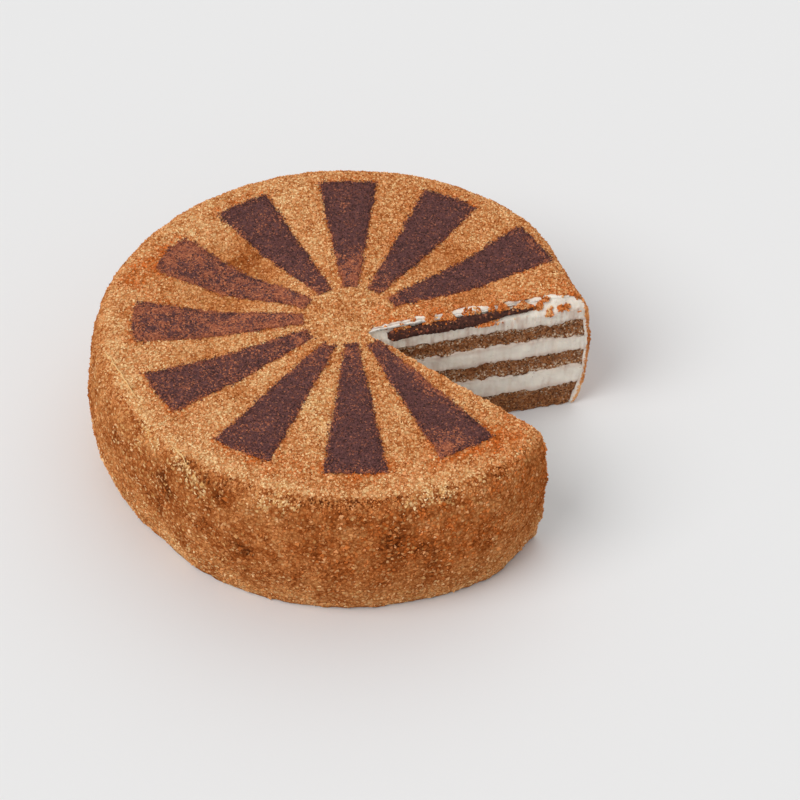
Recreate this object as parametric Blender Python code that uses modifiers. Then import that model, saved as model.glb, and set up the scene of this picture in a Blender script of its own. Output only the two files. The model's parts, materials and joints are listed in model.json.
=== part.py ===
"""Round honey cake with one wedge taken out.

Three sponge discs and two cream fillings are stacked inside a cream frosting, which covers
their top and side. A thin coat of crumb covers the frosting, and ten cocoa rays lie on it.
The top sags a little between its centre and its rim, and the outline is not quite round.
The wedge leaves a notch with two cut walls. Along the far wall the top edge is torn: a strip
of the coat, with the last sliver of a cocoa ray on it, has slumped over the cream.

The origin is the centre of the flat base, +Z is up, and the notch opens towards +X.
"""

import math
import random

import bmesh
import bpy
from mathutils import Vector, noise

# Driving dimensions of the whole cake, in metres
CAKE_RADIUS = 0.100
CAKE_HEIGHT = 0.056
FOOT_RADIUS = 0.0945
SHOULDER_RADIUS = 0.0985
SHOULDER_HEIGHT = 0.044
SHOULDER_FULLNESS = 0.78
RIM_RADIUS = 0.088

# Layers
GAP = 0.0003
SPONGE_BOTTOM_TOP = 0.012
CREAM_LOWER_TOP = 0.021
SPONGE_MIDDLE_TOP = 0.029
CREAM_UPPER_TOP = 0.0365
SPONGE_TOP_TOP = 0.044
LAYER_TOPS = (
    SPONGE_BOTTOM_TOP,
    CREAM_LOWER_TOP,
    SPONGE_MIDDLE_TOP,
    CREAM_UPPER_TOP,
    SPONGE_TOP_TOP,
)
COAT_THICKNESS = 0.0016
FROSTING_THICKNESS = CAKE_HEIGHT - COAT_THICKNESS - SPONGE_TOP_TOP
FROSTING_SIDE = 0.0019
FROSTING_FOOT = 0.0004
COAT_FOOT = 0.0008

# Unevenness: waves through the layers, and dents of the outline (angle, half width, depth)
WAVE_HEIGHT = 0.0013
WAVE_LENGTH = 0.055
WAVE_LENGTH_UP = 0.030
DENTS = (
    (math.radians(22.0), math.radians(17.0), 0.0075),
    (math.radians(-37.0), math.radians(12.0), 0.0062),
    (math.radians(-75.0), math.radians(12.0), 0.0012),
    (math.radians(-137.0), math.radians(10.0), 0.0022),
    (math.radians(-166.0), math.radians(10.0), -0.0008),
)
SIDE_RELIEF = 0.0006
SIDE_RELIEF_LENGTH = 0.009

# The frosting has sunk between its centre and its rim, most at these angles (as for the dents)
SAG_RADIUS = 0.052
SAG_WIDTH = 0.019
SAGS = (
    (math.radians(35.0), math.radians(30.0), 0.0026),
    (math.radians(148.0), math.radians(30.0), 0.0042),
    (math.radians(205.0), math.radians(26.0), 0.0015),
)

# Notch left by the wedge
NOTCH_TIP = Vector((0.0060, -0.0040, 0.0))
FAR_WALL_ANGLE = math.radians(15.2)
NEAR_WALL_ANGLE = math.radians(-38.0)
NOTCH_REACH = 0.125
NOTCH_BELOW = -0.010
NOTCH_ABOVE = 0.070
KNIFE_WOBBLE = 0.0005
SPONGE_PULL = 0.0006

# Torn edge along the far wall: depth behind the wall at the top, and height of its lower edge
TEAR_START = 0.0005
TEAR_END = 0.099
TEAR_DEPTH_MIN = 0.0027
TEAR_DEPTH_SWELL = 0.0030
TEAR_LOW = 0.0498
STRIP_START = 0.009
STRIP_END = 0.068
STRIP_THICKNESS = 0.0013
STRIP_UPPER_EDGE = 0.62
STRIP_LOWER_EDGE = 0.05
SLIVER_START = 0.010
SLIVER_END = 0.063
SLIVER_THICKNESS = 0.0007
SLIVER_UPPER_EDGE = 0.52
SLIVER_LOWER_EDGE = 0.12

# Cocoa rays, all about a centre slightly off the cake's own
RAY_CENTRE = Vector((0.0, 0.0033, 0.0))
RAY_COUNT_ALL_ROUND = 12
RAY_FIRST_ANGLE = math.radians(92.8)
RAY_INNER_RADIUS = 0.0183
RAY_OUTER_RADIUS = 0.0822
RAY_INNER_HALF_ANGLE = math.radians(8.2)
RAY_OUTER_HALF_ANGLE = math.radians(7.9)
RAY_THICKNESS = 0.0006
RAYS_IN_NOTCH = (3, 4)
RAY_ENDS = {
    0: (0.0183, 0.0815),
    2: (0.0183, 0.0852),
    5: (0.0158, 0.0812),
    6: (0.0146, 0.0825),
    7: (0.0172, 0.0815),
    10: (0.0183, 0.0806),
    11: (0.0183, 0.0802),
}

# How far some rays are turned clockwise of their even place
RAY_TURNS = {
    2: math.radians(-0.5),
    8: math.radians(0.6),
    9: math.radians(-0.5),
    10: math.radians(-1.1),
    11: math.radians(-1.6),
}

# Larger crumbs fused to the coat
LUMP_COUNT = 46
LUMP_SIZE = (0.0012, 0.0022)
LUMP_SINK = 0.0006
LUMP_REACH_IN = 0.0008
LUMP_SPACING = 0.008
LUMP_SEED = 7

# Fineness of the turned shapes
LAYER_STEPS = 36
COAT_STEPS = 72
SIDE_POINTS = 6
SHOULDER_POINTS = 5
TOP_RADII = (0.076, 0.064, 0.052, 0.040, 0.026, 0.012, 0.0)

SPONGE_COLOUR = (0.24, 0.09, 0.035)
CREAM_COLOUR = (0.80, 0.75, 0.66)
CRUMB_COLOUR = (0.46, 0.20, 0.055)
COCOA_COLOUR = (0.075, 0.035, 0.030)
TORN_CRUMB_COLOUR = (0.42, 0.14, 0.04)


def clear_scene():
    for thing in list(bpy.data.objects):
        bpy.data.objects.remove(thing)


def new_collection(name):
    group = bpy.data.collections.new(name)
    bpy.context.scene.collection.children.link(group)
    return group


def new_material(name, colour, roughness):
    material = bpy.data.materials.new(name)
    material.use_nodes = True
    shader = material.node_tree.nodes["Principled BSDF"]
    shader.inputs["Base Color"].default_value = (*colour, 1.0)
    shader.inputs["Roughness"].default_value = roughness
    shader.inputs["Metallic"].default_value = 0.0
    return material


def new_object(name, mesh, group, material=None):
    thing = bpy.data.objects.new(name, mesh)
    group.objects.link(thing)
    if material is not None:
        mesh.materials.append(material)
    return thing


def swell(angle, places):
    """Sum of soft swellings round the cake, each with its angle, half width and depth."""
    total = 0.0
    for middle, half_width, depth in places:
        away = (angle - middle + math.pi) % (2.0 * math.pi) - math.pi
        total += depth * math.exp(-((away / half_width) ** 2))
    return total


def settle(point):
    """Moves a point of the ideal round cake to where it lies in the real, uneven one."""
    radius = math.hypot(point.x, point.y)
    angle = math.atan2(point.y, point.x)
    share = radius / CAKE_RADIUS
    keep = 1.0
    if radius > 0.0:
        keep = 1.0 - swell(angle, DENTS) * share ** 4 / radius
    freedom = math.sin(math.pi * min(max(point.z / CAKE_HEIGHT, 0.0), 1.0))
    place = (point.x / WAVE_LENGTH, point.y / WAVE_LENGTH, point.z / WAVE_LENGTH_UP)
    lift = WAVE_HEIGHT * freedom * noise.noise(Vector(place))
    ring = math.exp(-(((radius - SAG_RADIUS) / SAG_WIDTH) ** 2))
    soft = (point.z - SPONGE_TOP_TOP - GAP) / (FROSTING_THICKNESS - 2.0 * GAP)
    sag = swell(angle, SAGS) * ring * min(max(soft, 0.0), 1.0)
    return Vector((point.x * keep, point.y * keep, point.z + lift - sag))


def side_radius(height):
    """Radius of the coat's face from the foot up to the shoulder: a belly, tucked in at the foot."""
    middle = 0.5 * CAKE_HEIGHT
    if height < middle:
        tuck = CAKE_RADIUS - FOOT_RADIUS
        share = (middle - height) / middle
    else:
        tuck = CAKE_RADIUS - SHOULDER_RADIUS
        share = (height - middle) / (SHOULDER_HEIGHT - middle)
    return CAKE_RADIUS - tuck * share ** 2.2


def outer_profile(inset, foot, side_count, shoulder_count, top_radii):
    """Profile from the foot up the side, over the shoulder and in to the axis.

    The inset is how deep the profile lies under the coat's face.
    """
    points = []
    for index in range(side_count):
        height = foot + (SHOULDER_HEIGHT - foot) * index / (side_count - 1)
        points.append((side_radius(height) - inset, height))
    for index in range(1, shoulder_count + 1):
        turn = 0.5 * math.pi * index / shoulder_count
        across = SHOULDER_RADIUS - inset - RIM_RADIUS
        up = CAKE_HEIGHT - inset - SHOULDER_HEIGHT
        radius = RIM_RADIUS + across * math.cos(turn) ** SHOULDER_FULLNESS
        points.append((radius, SHOULDER_HEIGHT + up * math.sin(turn) ** SHOULDER_FULLNESS))
    for radius in top_radii:
        points.append((radius, CAKE_HEIGHT - inset))
    return points


def turned(name, profile, steps, group, material, shape):
    """A closed profile turned about Z with a Screw modifier, each point then moved by shape."""
    sketch = bmesh.new()
    corners = [sketch.verts.new((radius, 0.0, height)) for radius, height in profile]
    for first, second in zip(corners, corners[1:]):
        sketch.edges.new((first, second))
    if profile[0][0] > 0.0:
        sketch.edges.new((corners[-1], corners[0]))
    outline = bpy.data.meshes.new(name + "_profile")
    sketch.to_mesh(outline)
    sketch.free()
    lathe = new_object(name + "_lathe", outline, group)
    screw = lathe.modifiers.new("turn", "SCREW")
    screw.angle = 2.0 * math.pi
    screw.steps = steps
    screw.render_steps = steps
    screw.use_merge_vertices = True
    screw.merge_threshold = 0.00001
    graph = bpy.context.evaluated_depsgraph_get()
    solid = bmesh.new()
    solid.from_mesh(lathe.evaluated_get(graph).to_mesh())
    bpy.data.objects.remove(lathe)
    bmesh.ops.remove_doubles(solid, verts=solid.verts, dist=0.00001)
    bmesh.ops.recalc_face_normals(solid, faces=solid.faces)
    for vertex in solid.verts:
        vertex.co = shape(vertex.co)
    mesh = bpy.data.meshes.new(name)
    solid.to_mesh(mesh)
    solid.free()
    return new_object(name, mesh, group, material)


def loft(name, rings, group, material=None):
    """A solid through rings of equally many points, with a flat cap at each end."""
    solid = bmesh.new()
    rows = [[solid.verts.new(point) for point in ring] for ring in rings]
    for lower, upper in zip(rows, rows[1:]):
        for index in range(len(lower)):
            after = (index + 1) % len(lower)
            solid.faces.new((lower[index], lower[after], upper[after], upper[index]))
    solid.faces.new(rows[0][::-1])
    solid.faces.new(rows[-1])
    bmesh.ops.triangulate(solid, faces=solid.faces)
    bmesh.ops.recalc_face_normals(solid, faces=solid.faces)
    mesh = bpy.data.meshes.new(name)
    solid.to_mesh(mesh)
    solid.free()
    return new_object(name, mesh, group, material)


def boolean(thing, operation, other):
    modifier = thing.modifiers.new(operation.lower(), "BOOLEAN")
    modifier.operation = operation
    if isinstance(other, bpy.types.Collection):
        modifier.operand_type = "COLLECTION"
        modifier.collection = other
    else:
        modifier.object = other
    return modifier


def apply_modifiers(thing):
    graph = bpy.context.evaluated_depsgraph_get()
    mesh = bpy.data.meshes.new_from_object(thing.evaluated_get(graph))
    thing.modifiers.clear()
    thing.data = mesh


def wall_point(wall_angle, along, behind, height):
    """A point by its distance along a cut wall from the notch's tip, and behind that wall."""
    run = Vector((math.cos(wall_angle), math.sin(wall_angle), 0.0))
    back = Vector((-run.y, run.x, 0.0))
    if wall_angle < 0.0:
        back = -back
    return NOTCH_TIP + run * along + back * behind + Vector((0.0, 0.0, height))


def knife_offset(along, height, side):
    """How far the cut strays from its plane: the knife wobbles and drags the sponge inwards."""
    wobble = noise.noise(Vector((along / 0.016, height / 0.012, side * 5.0)))
    pull = 0.0
    for low, high in (
        (0.0, SPONGE_BOTTOM_TOP),
        (CREAM_LOWER_TOP, SPONGE_MIDDLE_TOP),
        (CREAM_UPPER_TOP, SPONGE_TOP_TOP),
    ):
        if low < height < high:
            pull = SPONGE_PULL
    fade = min(along / 0.006, 1.0)
    return (KNIFE_WOBBLE * wobble + pull) * fade


def make_notch_cutter(cutters):
    """The wedge that was taken out, with a wavy face towards each cut wall."""
    edge = 0.0008
    levels = [NOTCH_BELOW, -edge]
    for top in LAYER_TOPS:
        levels += [top - edge, top + edge]
    levels += [0.5 * (SPONGE_TOP_TOP + CAKE_HEIGHT), CAKE_HEIGHT + edge, NOTCH_ABOVE]
    count = 12
    rings = []
    for level in levels:
        ring = []
        for index in range(count + 1):
            along = NOTCH_REACH * index / count
            ring.append(wall_point(FAR_WALL_ANGLE, along, knife_offset(along, level, 1.0), level))
        for index in range(count, 0, -1):
            along = NOTCH_REACH * index / count
            ring.append(wall_point(NEAR_WALL_ANGLE, along, knife_offset(along, level, 2.0), level))
        rings.append(ring)
    return loft("notch_cutter", rings, cutters)


def tear_depth(along):
    """How far behind the far wall the torn edge reaches at the top of the cake."""
    share = (along - TEAR_START) / (TEAR_END - TEAR_START)
    ragged = 0.0005 * noise.noise(Vector((along / 0.006, 3.0, 0.0)))
    return TEAR_DEPTH_MIN + TEAR_DEPTH_SWELL * math.sin(math.pi * share) + ragged


def tear_point(along, share, lift):
    """A point on the torn slope: share 0 at its lower edge, 1 at the top, lift square to it."""
    depth = tear_depth(along)
    rise = CAKE_HEIGHT - TEAR_LOW
    length = math.hypot(depth, rise)
    behind = depth * share - lift * rise / length
    height = TEAR_LOW + rise * share + lift * depth / length
    return wall_point(FAR_WALL_ANGLE, along, behind, height)


def make_tear_cutter(cutters):
    """Takes the top edge off the coat and the frosting along the far wall."""
    count = 18
    rings = []
    for index in range(count + 1):
        along = TEAR_START + (TEAR_END - TEAR_START) * index / count
        ring = [
            tear_point(along, -0.8, 0.0),
            tear_point(along, 1.4, 0.0),
            tear_point(along, 1.4, 0.008),
            tear_point(along, -0.8, 0.008),
        ]
        rings.append(ring)
    return loft("tear_cutter", rings, cutters)


def make_slope_slab(name, start, end, lower, upper, lift, thickness, group, material):
    """A thin slab on the torn slope, ragged along both edges and narrowing to its outer end."""
    count = 14
    rings = []
    for index in range(count + 1):
        share = index / count
        along = start + (end - start) * share
        taper = 1.0 - 0.55 * share ** 2
        ragged = 0.05 * noise.noise(Vector((along / 0.005, lift / 0.001, 9.0)))
        low = lower + ragged
        high = lower + (upper - lower) * taper + ragged
        thin = thickness * (1.0 - 0.4 * abs(2.0 * share - 1.0) ** 4)
        rings.append([
            tear_point(along, low, lift),
            tear_point(along, high, lift),
            tear_point(along, high - 0.04, lift + thin),
            tear_point(along, low + 0.04, lift + thin),
        ])
    return loft(name, rings, group, material)


def make_layer(name, low, high, group, material):
    """One disc of the stack, its edge hidden behind the frosting."""
    inset = COAT_THICKNESS + FROSTING_SIDE + 2.0 * GAP
    bottom = low if low == 0.0 else low + 0.5 * GAP
    top = high - 0.5 * GAP
    radii = (0.084, 0.056, 0.028)
    profile = [(0.0, bottom)]
    profile += [(radius, bottom) for radius in reversed(radii)]
    profile += [(side_radius(height) - inset, height) for height in (bottom, top)]
    profile += [(radius, top) for radius in radii]
    profile.append((0.0, top))
    return turned(name, profile, LAYER_STEPS, group, material, settle)


def make_frosting(group, material):
    """The top cream and the thin cream skirt down the side, in one piece."""
    outside = outer_profile(COAT_THICKNESS + GAP, FROSTING_FOOT, 5, 3, TOP_RADII)
    inset = COAT_THICKNESS + FROSTING_SIDE + GAP
    ceiling = SPONGE_TOP_TOP + 0.5 * GAP
    inside = [(radius, ceiling) for radius in (0.0, 0.028, 0.056, 0.084)]
    for height in (ceiling, *reversed(LAYER_TOPS[:-1]), FROSTING_FOOT):
        inside.append((side_radius(height) - inset, height))
    return turned("frosting", outside + inside, LAYER_STEPS, group, material, settle)


def roughen_side(point):
    """Settles a point of the coat and gives its outer side the lumpy relief of packed crumb."""
    place = settle(point)
    radius = math.hypot(point.x, point.y)
    height = min(max(point.z, 0.0), CAKE_HEIGHT)
    outside = radius > RIM_RADIUS - 0.004 and point.z > CAKE_HEIGHT - 0.0002
    if height < SHOULDER_HEIGHT:
        outside = radius > side_radius(height) - 0.0005
    elif radius > RIM_RADIUS:
        across = (radius - RIM_RADIUS) / (SHOULDER_RADIUS - RIM_RADIUS)
        up = (height - SHOULDER_HEIGHT) / (CAKE_HEIGHT - SHOULDER_HEIGHT)
        outside = math.hypot(across, up) > 0.97
    if outside:
        bump = noise.noise(place / SIDE_RELIEF_LENGTH) * SIDE_RELIEF
        place.x += bump * point.x / radius
        place.y += bump * point.y / radius
    return place


def coat_surface_point(angle, share):
    """A point on the coat, from share 0 at the foot to 1 at the rim of the top."""
    profile = outer_profile(0.0, COAT_FOOT, SIDE_POINTS, SHOULDER_POINTS, ())
    place = share * (len(profile) - 1)
    index = min(int(place), len(profile) - 2)
    part = place - index
    radius = profile[index][0] * (1.0 - part) + profile[index + 1][0] * part
    height = profile[index][1] * (1.0 - part) + profile[index + 1][1] * part
    return roughen_side(Vector((radius * math.cos(angle), radius * math.sin(angle), height)))


def make_lumps(group):
    """Larger crumbs spread over the side and shoulder, clear of each other and of the notch."""
    draw = random.Random(LUMP_SEED)
    places = []
    notch_width = FAR_WALL_ANGLE - NEAR_WALL_ANGLE
    first_angle = FAR_WALL_ANGLE + math.radians(5.0)
    sweep = 2.0 * math.pi - notch_width - math.radians(12.0)
    while len(places) < LUMP_COUNT:
        angle = first_angle + sweep * draw.random()
        share = 0.04 + 0.86 * draw.random() ** 1.4
        place = coat_surface_point(angle, share)
        if any((place - other).length < LUMP_SPACING for other in places):
            continue
        places.append(place)
        core = Vector((math.cos(angle), math.sin(angle), 0.0)) * RIM_RADIUS
        core.z = min(place.z, SHOULDER_HEIGHT)
        inward = (core - place).normalized()
        crumb = bmesh.new()
        size = LUMP_SIZE[0] + (LUMP_SIZE[1] - LUMP_SIZE[0]) * draw.random()
        bmesh.ops.create_icosphere(crumb, subdivisions=1, radius=size)
        for vertex in crumb.verts:
            vertex.co *= draw.uniform(0.8, 1.15)
            vertex.co += inward * LUMP_SINK
            too_deep = vertex.co.dot(inward) - LUMP_REACH_IN
            if too_deep > 0.0:
                vertex.co -= inward * too_deep
            vertex.co += place
        mesh = bpy.data.meshes.new("lump")
        crumb.to_mesh(mesh)
        crumb.free()
        new_object("lump", mesh, group)


def make_crumb_coat(group, material):
    """The thin coat of crumb over the frosting, with its larger crumbs fused on."""
    outside = outer_profile(0.0, COAT_FOOT, SIDE_POINTS, SHOULDER_POINTS, TOP_RADII)
    inside = outer_profile(COAT_THICKNESS, COAT_FOOT, 5, 3, TOP_RADII)
    coat = turned("crumb_coat", outside + inside[::-1], COAT_STEPS, group, material, roughen_side)
    lumps = new_collection("lumps")
    make_lumps(lumps)
    boolean(coat, "UNION", lumps)
    apply_modifiers(coat)
    for lump in list(lumps.objects):
        bpy.data.objects.remove(lump)
    bpy.data.collections.remove(lumps)
    return coat


def make_cocoa_sheet(group):
    """The whole top under one even layer of cocoa, following the coat at a constant height."""
    face = outer_profile(0.0, COAT_FOOT, 2, SHOULDER_POINTS, TOP_RADII)[3:]
    upper = [(radius, height + GAP + RAY_THICKNESS) for radius, height in face]
    lower = [(radius, height + GAP) for radius, height in reversed(face)]
    return turned("cocoa_sheet", upper[::-1] + lower[::-1], COAT_STEPS, group, None, settle)


def make_stencil(number, group):
    """The opening in the stencil for one ray, as an upright wedge without its point."""
    axis = RAY_FIRST_ANGLE - number * 2.0 * math.pi / RAY_COUNT_ALL_ROUND
    axis -= RAY_TURNS.get(number, 0.0)
    inner, outer = RAY_ENDS.get(number, (RAY_INNER_RADIUS, RAY_OUTER_RADIUS))
    outline = []
    for radius, half, count in ((inner, RAY_INNER_HALF_ANGLE, 2), (outer, RAY_OUTER_HALF_ANGLE, 4)):
        turns = [2.0 * index / (count - 1) - 1.0 for index in range(count)]
        if radius == outer:
            turns.reverse()
        for turn in turns:
            angle = axis + half * turn
            outline.append(RAY_CENTRE + Vector((math.cos(angle), math.sin(angle), 0.0)) * radius)
    rings = []
    for height in (CAKE_HEIGHT - 0.012, CAKE_HEIGHT + 0.006):
        rings.append([point + Vector((0.0, 0.0, height)) for point in outline])
    return loft("stencil_%02d" % number, rings, group)


def make_cocoa_rays(group, material, cutters):
    """Wedges of sifted cocoa, each one the part of the sheet that its stencil lets through."""
    rays = []
    sheet = make_cocoa_sheet(cutters)
    for number in range(RAY_COUNT_ALL_ROUND):
        if number in RAYS_IN_NOTCH:
            continue
        ray = new_object("cocoa_ray_%02d" % (len(rays) + 1), sheet.data.copy(), group, material)
        stencil = make_stencil(number, cutters)
        boolean(ray, "INTERSECT", stencil)
        apply_modifiers(ray)
        bpy.data.objects.remove(stencil)
        rays.append(ray)
    bpy.data.objects.remove(sheet)
    return rays


def build():
    clear_scene()
    cake = new_collection("honey_cake")
    cutters = new_collection("cutters")

    sponge = new_material("baked_honey_sponge", SPONGE_COLOUR, 0.90)
    cream = new_material("sour_cream_filling", CREAM_COLOUR, 0.55)
    crumb = new_material("golden_crumb", CRUMB_COLOUR, 0.95)
    cocoa = new_material("sifted_cocoa", COCOA_COLOUR, 0.90)
    torn = new_material("torn_crumb", TORN_CRUMB_COLOUR, 0.95)

    stack = [
        make_layer("sponge_bottom", 0.0, SPONGE_BOTTOM_TOP, cake, sponge),
        make_layer("cream_lower", SPONGE_BOTTOM_TOP, CREAM_LOWER_TOP, cake, cream),
        make_layer("sponge_middle", CREAM_LOWER_TOP, SPONGE_MIDDLE_TOP, cake, sponge),
        make_layer("cream_upper", SPONGE_MIDDLE_TOP, CREAM_UPPER_TOP, cake, cream),
        make_layer("sponge_top", CREAM_UPPER_TOP, SPONGE_TOP_TOP, cake, sponge),
    ]
    frosting = make_frosting(cake, cream)
    coat = make_crumb_coat(cake, crumb)
    rays = make_cocoa_rays(cake, cocoa, cutters)

    notch_cutter = make_notch_cutter(cutters)
    tear_cutter = make_tear_cutter(cutters)
    for cutter in (notch_cutter, tear_cutter):
        cutter.hide_render = True
        cutter.display_type = "WIRE"
    for thing in stack + [frosting, coat] + rays:
        boolean(thing, "DIFFERENCE", notch_cutter)
    for thing in (frosting, coat):
        boolean(thing, "DIFFERENCE", tear_cutter)

    make_slope_slab(
        "torn_crumb_strip", STRIP_START, STRIP_END, STRIP_LOWER_EDGE, STRIP_UPPER_EDGE,
        GAP, STRIP_THICKNESS, cake, torn,
    )
    make_slope_slab(
        "cocoa_sliver", SLIVER_START, SLIVER_END, SLIVER_LOWER_EDGE, SLIVER_UPPER_EDGE,
        2.0 * GAP + STRIP_THICKNESS, SLIVER_THICKNESS, cake, cocoa,
    )


build()
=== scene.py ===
"""Looks of the round honey cake with a wedge taken out: cream, sponge, crumb and cocoa."""

import json
import math
import random

import bmesh
import bpy
import numpy as np
from bpy.props import FloatProperty, FloatVectorProperty, IntProperty, PointerProperty
from mathutils import Matrix, Vector, noise

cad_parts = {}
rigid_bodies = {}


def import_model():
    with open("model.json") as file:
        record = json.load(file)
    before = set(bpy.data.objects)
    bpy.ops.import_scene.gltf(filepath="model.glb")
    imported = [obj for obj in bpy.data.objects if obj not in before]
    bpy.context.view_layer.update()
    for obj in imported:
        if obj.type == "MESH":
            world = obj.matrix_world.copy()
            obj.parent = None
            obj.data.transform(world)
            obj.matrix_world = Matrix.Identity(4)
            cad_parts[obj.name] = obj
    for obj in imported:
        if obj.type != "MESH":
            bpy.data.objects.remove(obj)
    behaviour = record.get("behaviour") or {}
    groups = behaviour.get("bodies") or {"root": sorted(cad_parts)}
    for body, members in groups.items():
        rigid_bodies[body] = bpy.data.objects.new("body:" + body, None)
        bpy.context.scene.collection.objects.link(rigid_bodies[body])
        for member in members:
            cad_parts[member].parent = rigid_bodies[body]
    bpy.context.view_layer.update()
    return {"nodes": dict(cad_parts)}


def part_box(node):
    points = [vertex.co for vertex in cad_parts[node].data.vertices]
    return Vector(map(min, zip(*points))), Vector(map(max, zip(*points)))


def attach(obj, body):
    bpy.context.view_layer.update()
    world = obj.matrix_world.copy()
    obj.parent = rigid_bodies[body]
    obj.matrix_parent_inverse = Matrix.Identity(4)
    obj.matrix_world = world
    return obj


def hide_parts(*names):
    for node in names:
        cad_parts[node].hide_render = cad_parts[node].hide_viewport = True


bl_info = {
    "name": "Honey Cake Looks",
    "version": (1, 0, 0),
    "blender": (4, 5, 0),
    "location": "3D View > Sidebar > Honey Cake",
    "description": "Dresses a cut honey cake with crumb, cocoa, cream and sponge",
    "category": "Object",
}

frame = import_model()

# Places read from the frame, in metres
CAKE_HEIGHT = round(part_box("crumb_coat")[1].z, 3)
RAY_NODES = sorted(name for name in frame["nodes"] if name.startswith("cocoa_ray_"))

# Keeps a division by the radius defined on the axis
TINY = 1e-9

# The side: foot, belly and shoulder of the coat's face
CAKE_RADIUS = 0.100
FOOT_RADIUS = 0.0945
SHOULDER_RADIUS = 0.0985
SHOULDER_HEIGHT = 0.044
SHOULDER_FULLNESS = 0.78
SIDE_FULLNESS = 2.2
RIM_RADIUS = 0.088

# The stack, from the base up, and the skins outside it
LAYER_LEVELS = (0.0, 0.012, 0.021, 0.029, 0.0365, 0.044)
LAYER_NODES = ("sponge_bottom", "cream_lower", "sponge_middle", "cream_upper", "sponge_top")
COAT_THICKNESS = 0.0016
COAT_FOOT = 0.0004
COAT_COLUMNS = 340
COAT_ROWS = (36, 14, 60)
SKIRT_THICKNESS = 0.0019

# Unevenness of the whole cake; dents and sags are given by angle, half width and depth
WAVE_HEIGHT = 0.0013
WAVE_LENGTH = 0.055
WAVE_LENGTH_UP = 0.030
DENTS = (
    (math.radians(22.0), math.radians(17.0), 0.0075),
    (math.radians(-37.0), math.radians(12.0), 0.0062),
    (math.radians(-75.0), math.radians(12.0), 0.0012),
    (math.radians(-137.0), math.radians(10.0), 0.0022),
    (math.radians(-166.0), math.radians(10.0), -0.0008),
)
DENT_POWER = 4
SAG_RADIUS = 0.052
SAG_WIDTH = 0.019
SAGS = (
    (math.radians(35.0), math.radians(30.0), 0.0026),
    (math.radians(148.0), math.radians(30.0), 0.0042),
    (math.radians(205.0), math.radians(26.0), 0.0015),
)

# The notch
NOTCH_TIP = np.array((0.0060, -0.0040))
FAR_WALL_ANGLE = math.radians(15.2)
NEAR_WALL_ANGLE = math.radians(-38.0)
SPONGE_PULL = 0.0006
TEAR_START = 0.0005
TEAR_END = 0.099
TEAR_DEPTH_MIN = 0.0027
TEAR_DEPTH_SWELL = 0.0030
TEAR_LOW = 0.0498
STRIP_RANGE = (0.009, 0.068)
SLIVER_RANGE = (0.0083, 0.0665)
SLIVER_UPPER_EDGE = 0.51

# Where the torn strip's upper edge rises to the coat or sinks (middle, width, share of the slope)
STRIP_UPPER_EDGE = 0.56
STRIP_SWELLS = (
    (0.0095, 0.0020, -0.15),
    (0.0150, 0.0025, 0.10),
    (0.0200, 0.0030, -0.10),
    (0.0250, 0.0014, 0.44),
    (0.0325, 0.0020, 0.44),
    (0.0430, 0.0075, -0.30),
    (0.0540, 0.0014, 0.40),
    (0.0620, 0.0014, 0.24),
    (0.0700, 0.0040, -0.20),
)

# Where the coat is torn back further, which bares more cream (middle, width, depth)
BARE_EDGES = (
    (0.0425, 0.0068, 0.0025),
    (0.0575, 0.0025, 0.0012),
    (0.0730, 0.0080, 0.0008),
)

# Fine unevenness, each kind of bump by depth, size (one number or one for each axis) and shift
TEAR_BUMPS = ((0.0005, 0.006, 0.0), (0.0004, 0.0019, 5.0))
COAT_EDGE_BUMPS = ((0.0010, 0.0042, 0.0), (0.0007, 0.0018, 4.0))
SIDE_LUMPS = ((0.0006, 0.009, 0.0), (0.0005, 0.0036, 2.0), (0.00022, 0.0015, 7.0))
TOP_GRAIN = ((0.00022, 0.0045, 2.0), (0.00012, 0.0016, 7.0))
RAY_EDGE_BUMPS = ((0.0008, 0.0030, 0.0), (0.0007, 0.0012, 3.0))
LAYER_EDGE_BUMPS = ((0.0012, 0.0065, 0.0), (0.0010, 0.0026, 2.0), (0.0004, 0.0012, 5.0))
CREAM_DRAG = ((0.0004, (0.0015, 0.006, 1.0), 3.0), (0.0005, 0.005, 6.0))

# Patches of paler and darker crumb, and more of them on the side (depth of tone, size, shift)
CRUMB_PATCHES = ((0.10, 0.016, 3.0), (0.09, 0.007, 8.0))
SIDE_PATCHES = ((0.15, (0.014, 0.014, 0.010), 1.0), (0.11, 0.0045, 6.0))

# Raised folds of the coat along the shoulder (angle in degrees, radius), all above one height
FOLD_LOW = 0.045
FOLDS = (
    ((-168.6, 0.0927), (-164.4, 0.0906), (-159.6, 0.0891), (-154.4, 0.0885), (-149.9, 0.0882)),
    ((-132.6, 0.0914), (-128.7, 0.0926), (-126.6, 0.0944)),
)

# Lines of paler crumb that carry the folds on
PALE_LINES = FOLDS + (
    ((-149.9, 0.0882), (-141.5, 0.0925), (-136.0, 0.0930)),
    ((-126.6, 0.0944), (-124.3, 0.0962), (-120.8, 0.0976)),
)

# Toasted spots on the side and shoulder (angle in degrees, radius, height, width)
TOASTED_SPOTS = (
    (-128.5, 0.0945, 0.0535, 0.0045),
    (-143.0, 0.0950, 0.0520, 0.0025),
    (-132.0, 0.0985, 0.0380, 0.0070),
    (-151.0, 0.0984, 0.0430, 0.0030),
    (-125.5, 0.0965, 0.0510, 0.0050),
    (-120.0, 0.0963, 0.0525, 0.0022),
    (-116.0, 0.0983, 0.0475, 0.0045),
    (-106.0, 0.0995, 0.0365, 0.0022),
    (-110.0, 0.0998, 0.0280, 0.0022),
    (-79.0, 0.0985, 0.0390, 0.0055),
    (-74.0, 0.0970, 0.0485, 0.0022),
    (-67.5, 0.0955, 0.0525, 0.0022),
    (-63.5, 0.0970, 0.0505, 0.0018),
    (-56.0, 0.0975, 0.0470, 0.0045),
    (-60.5, 0.0995, 0.0300, 0.0030),
    (-44.5, 0.0945, 0.0480, 0.0030),
)

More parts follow.
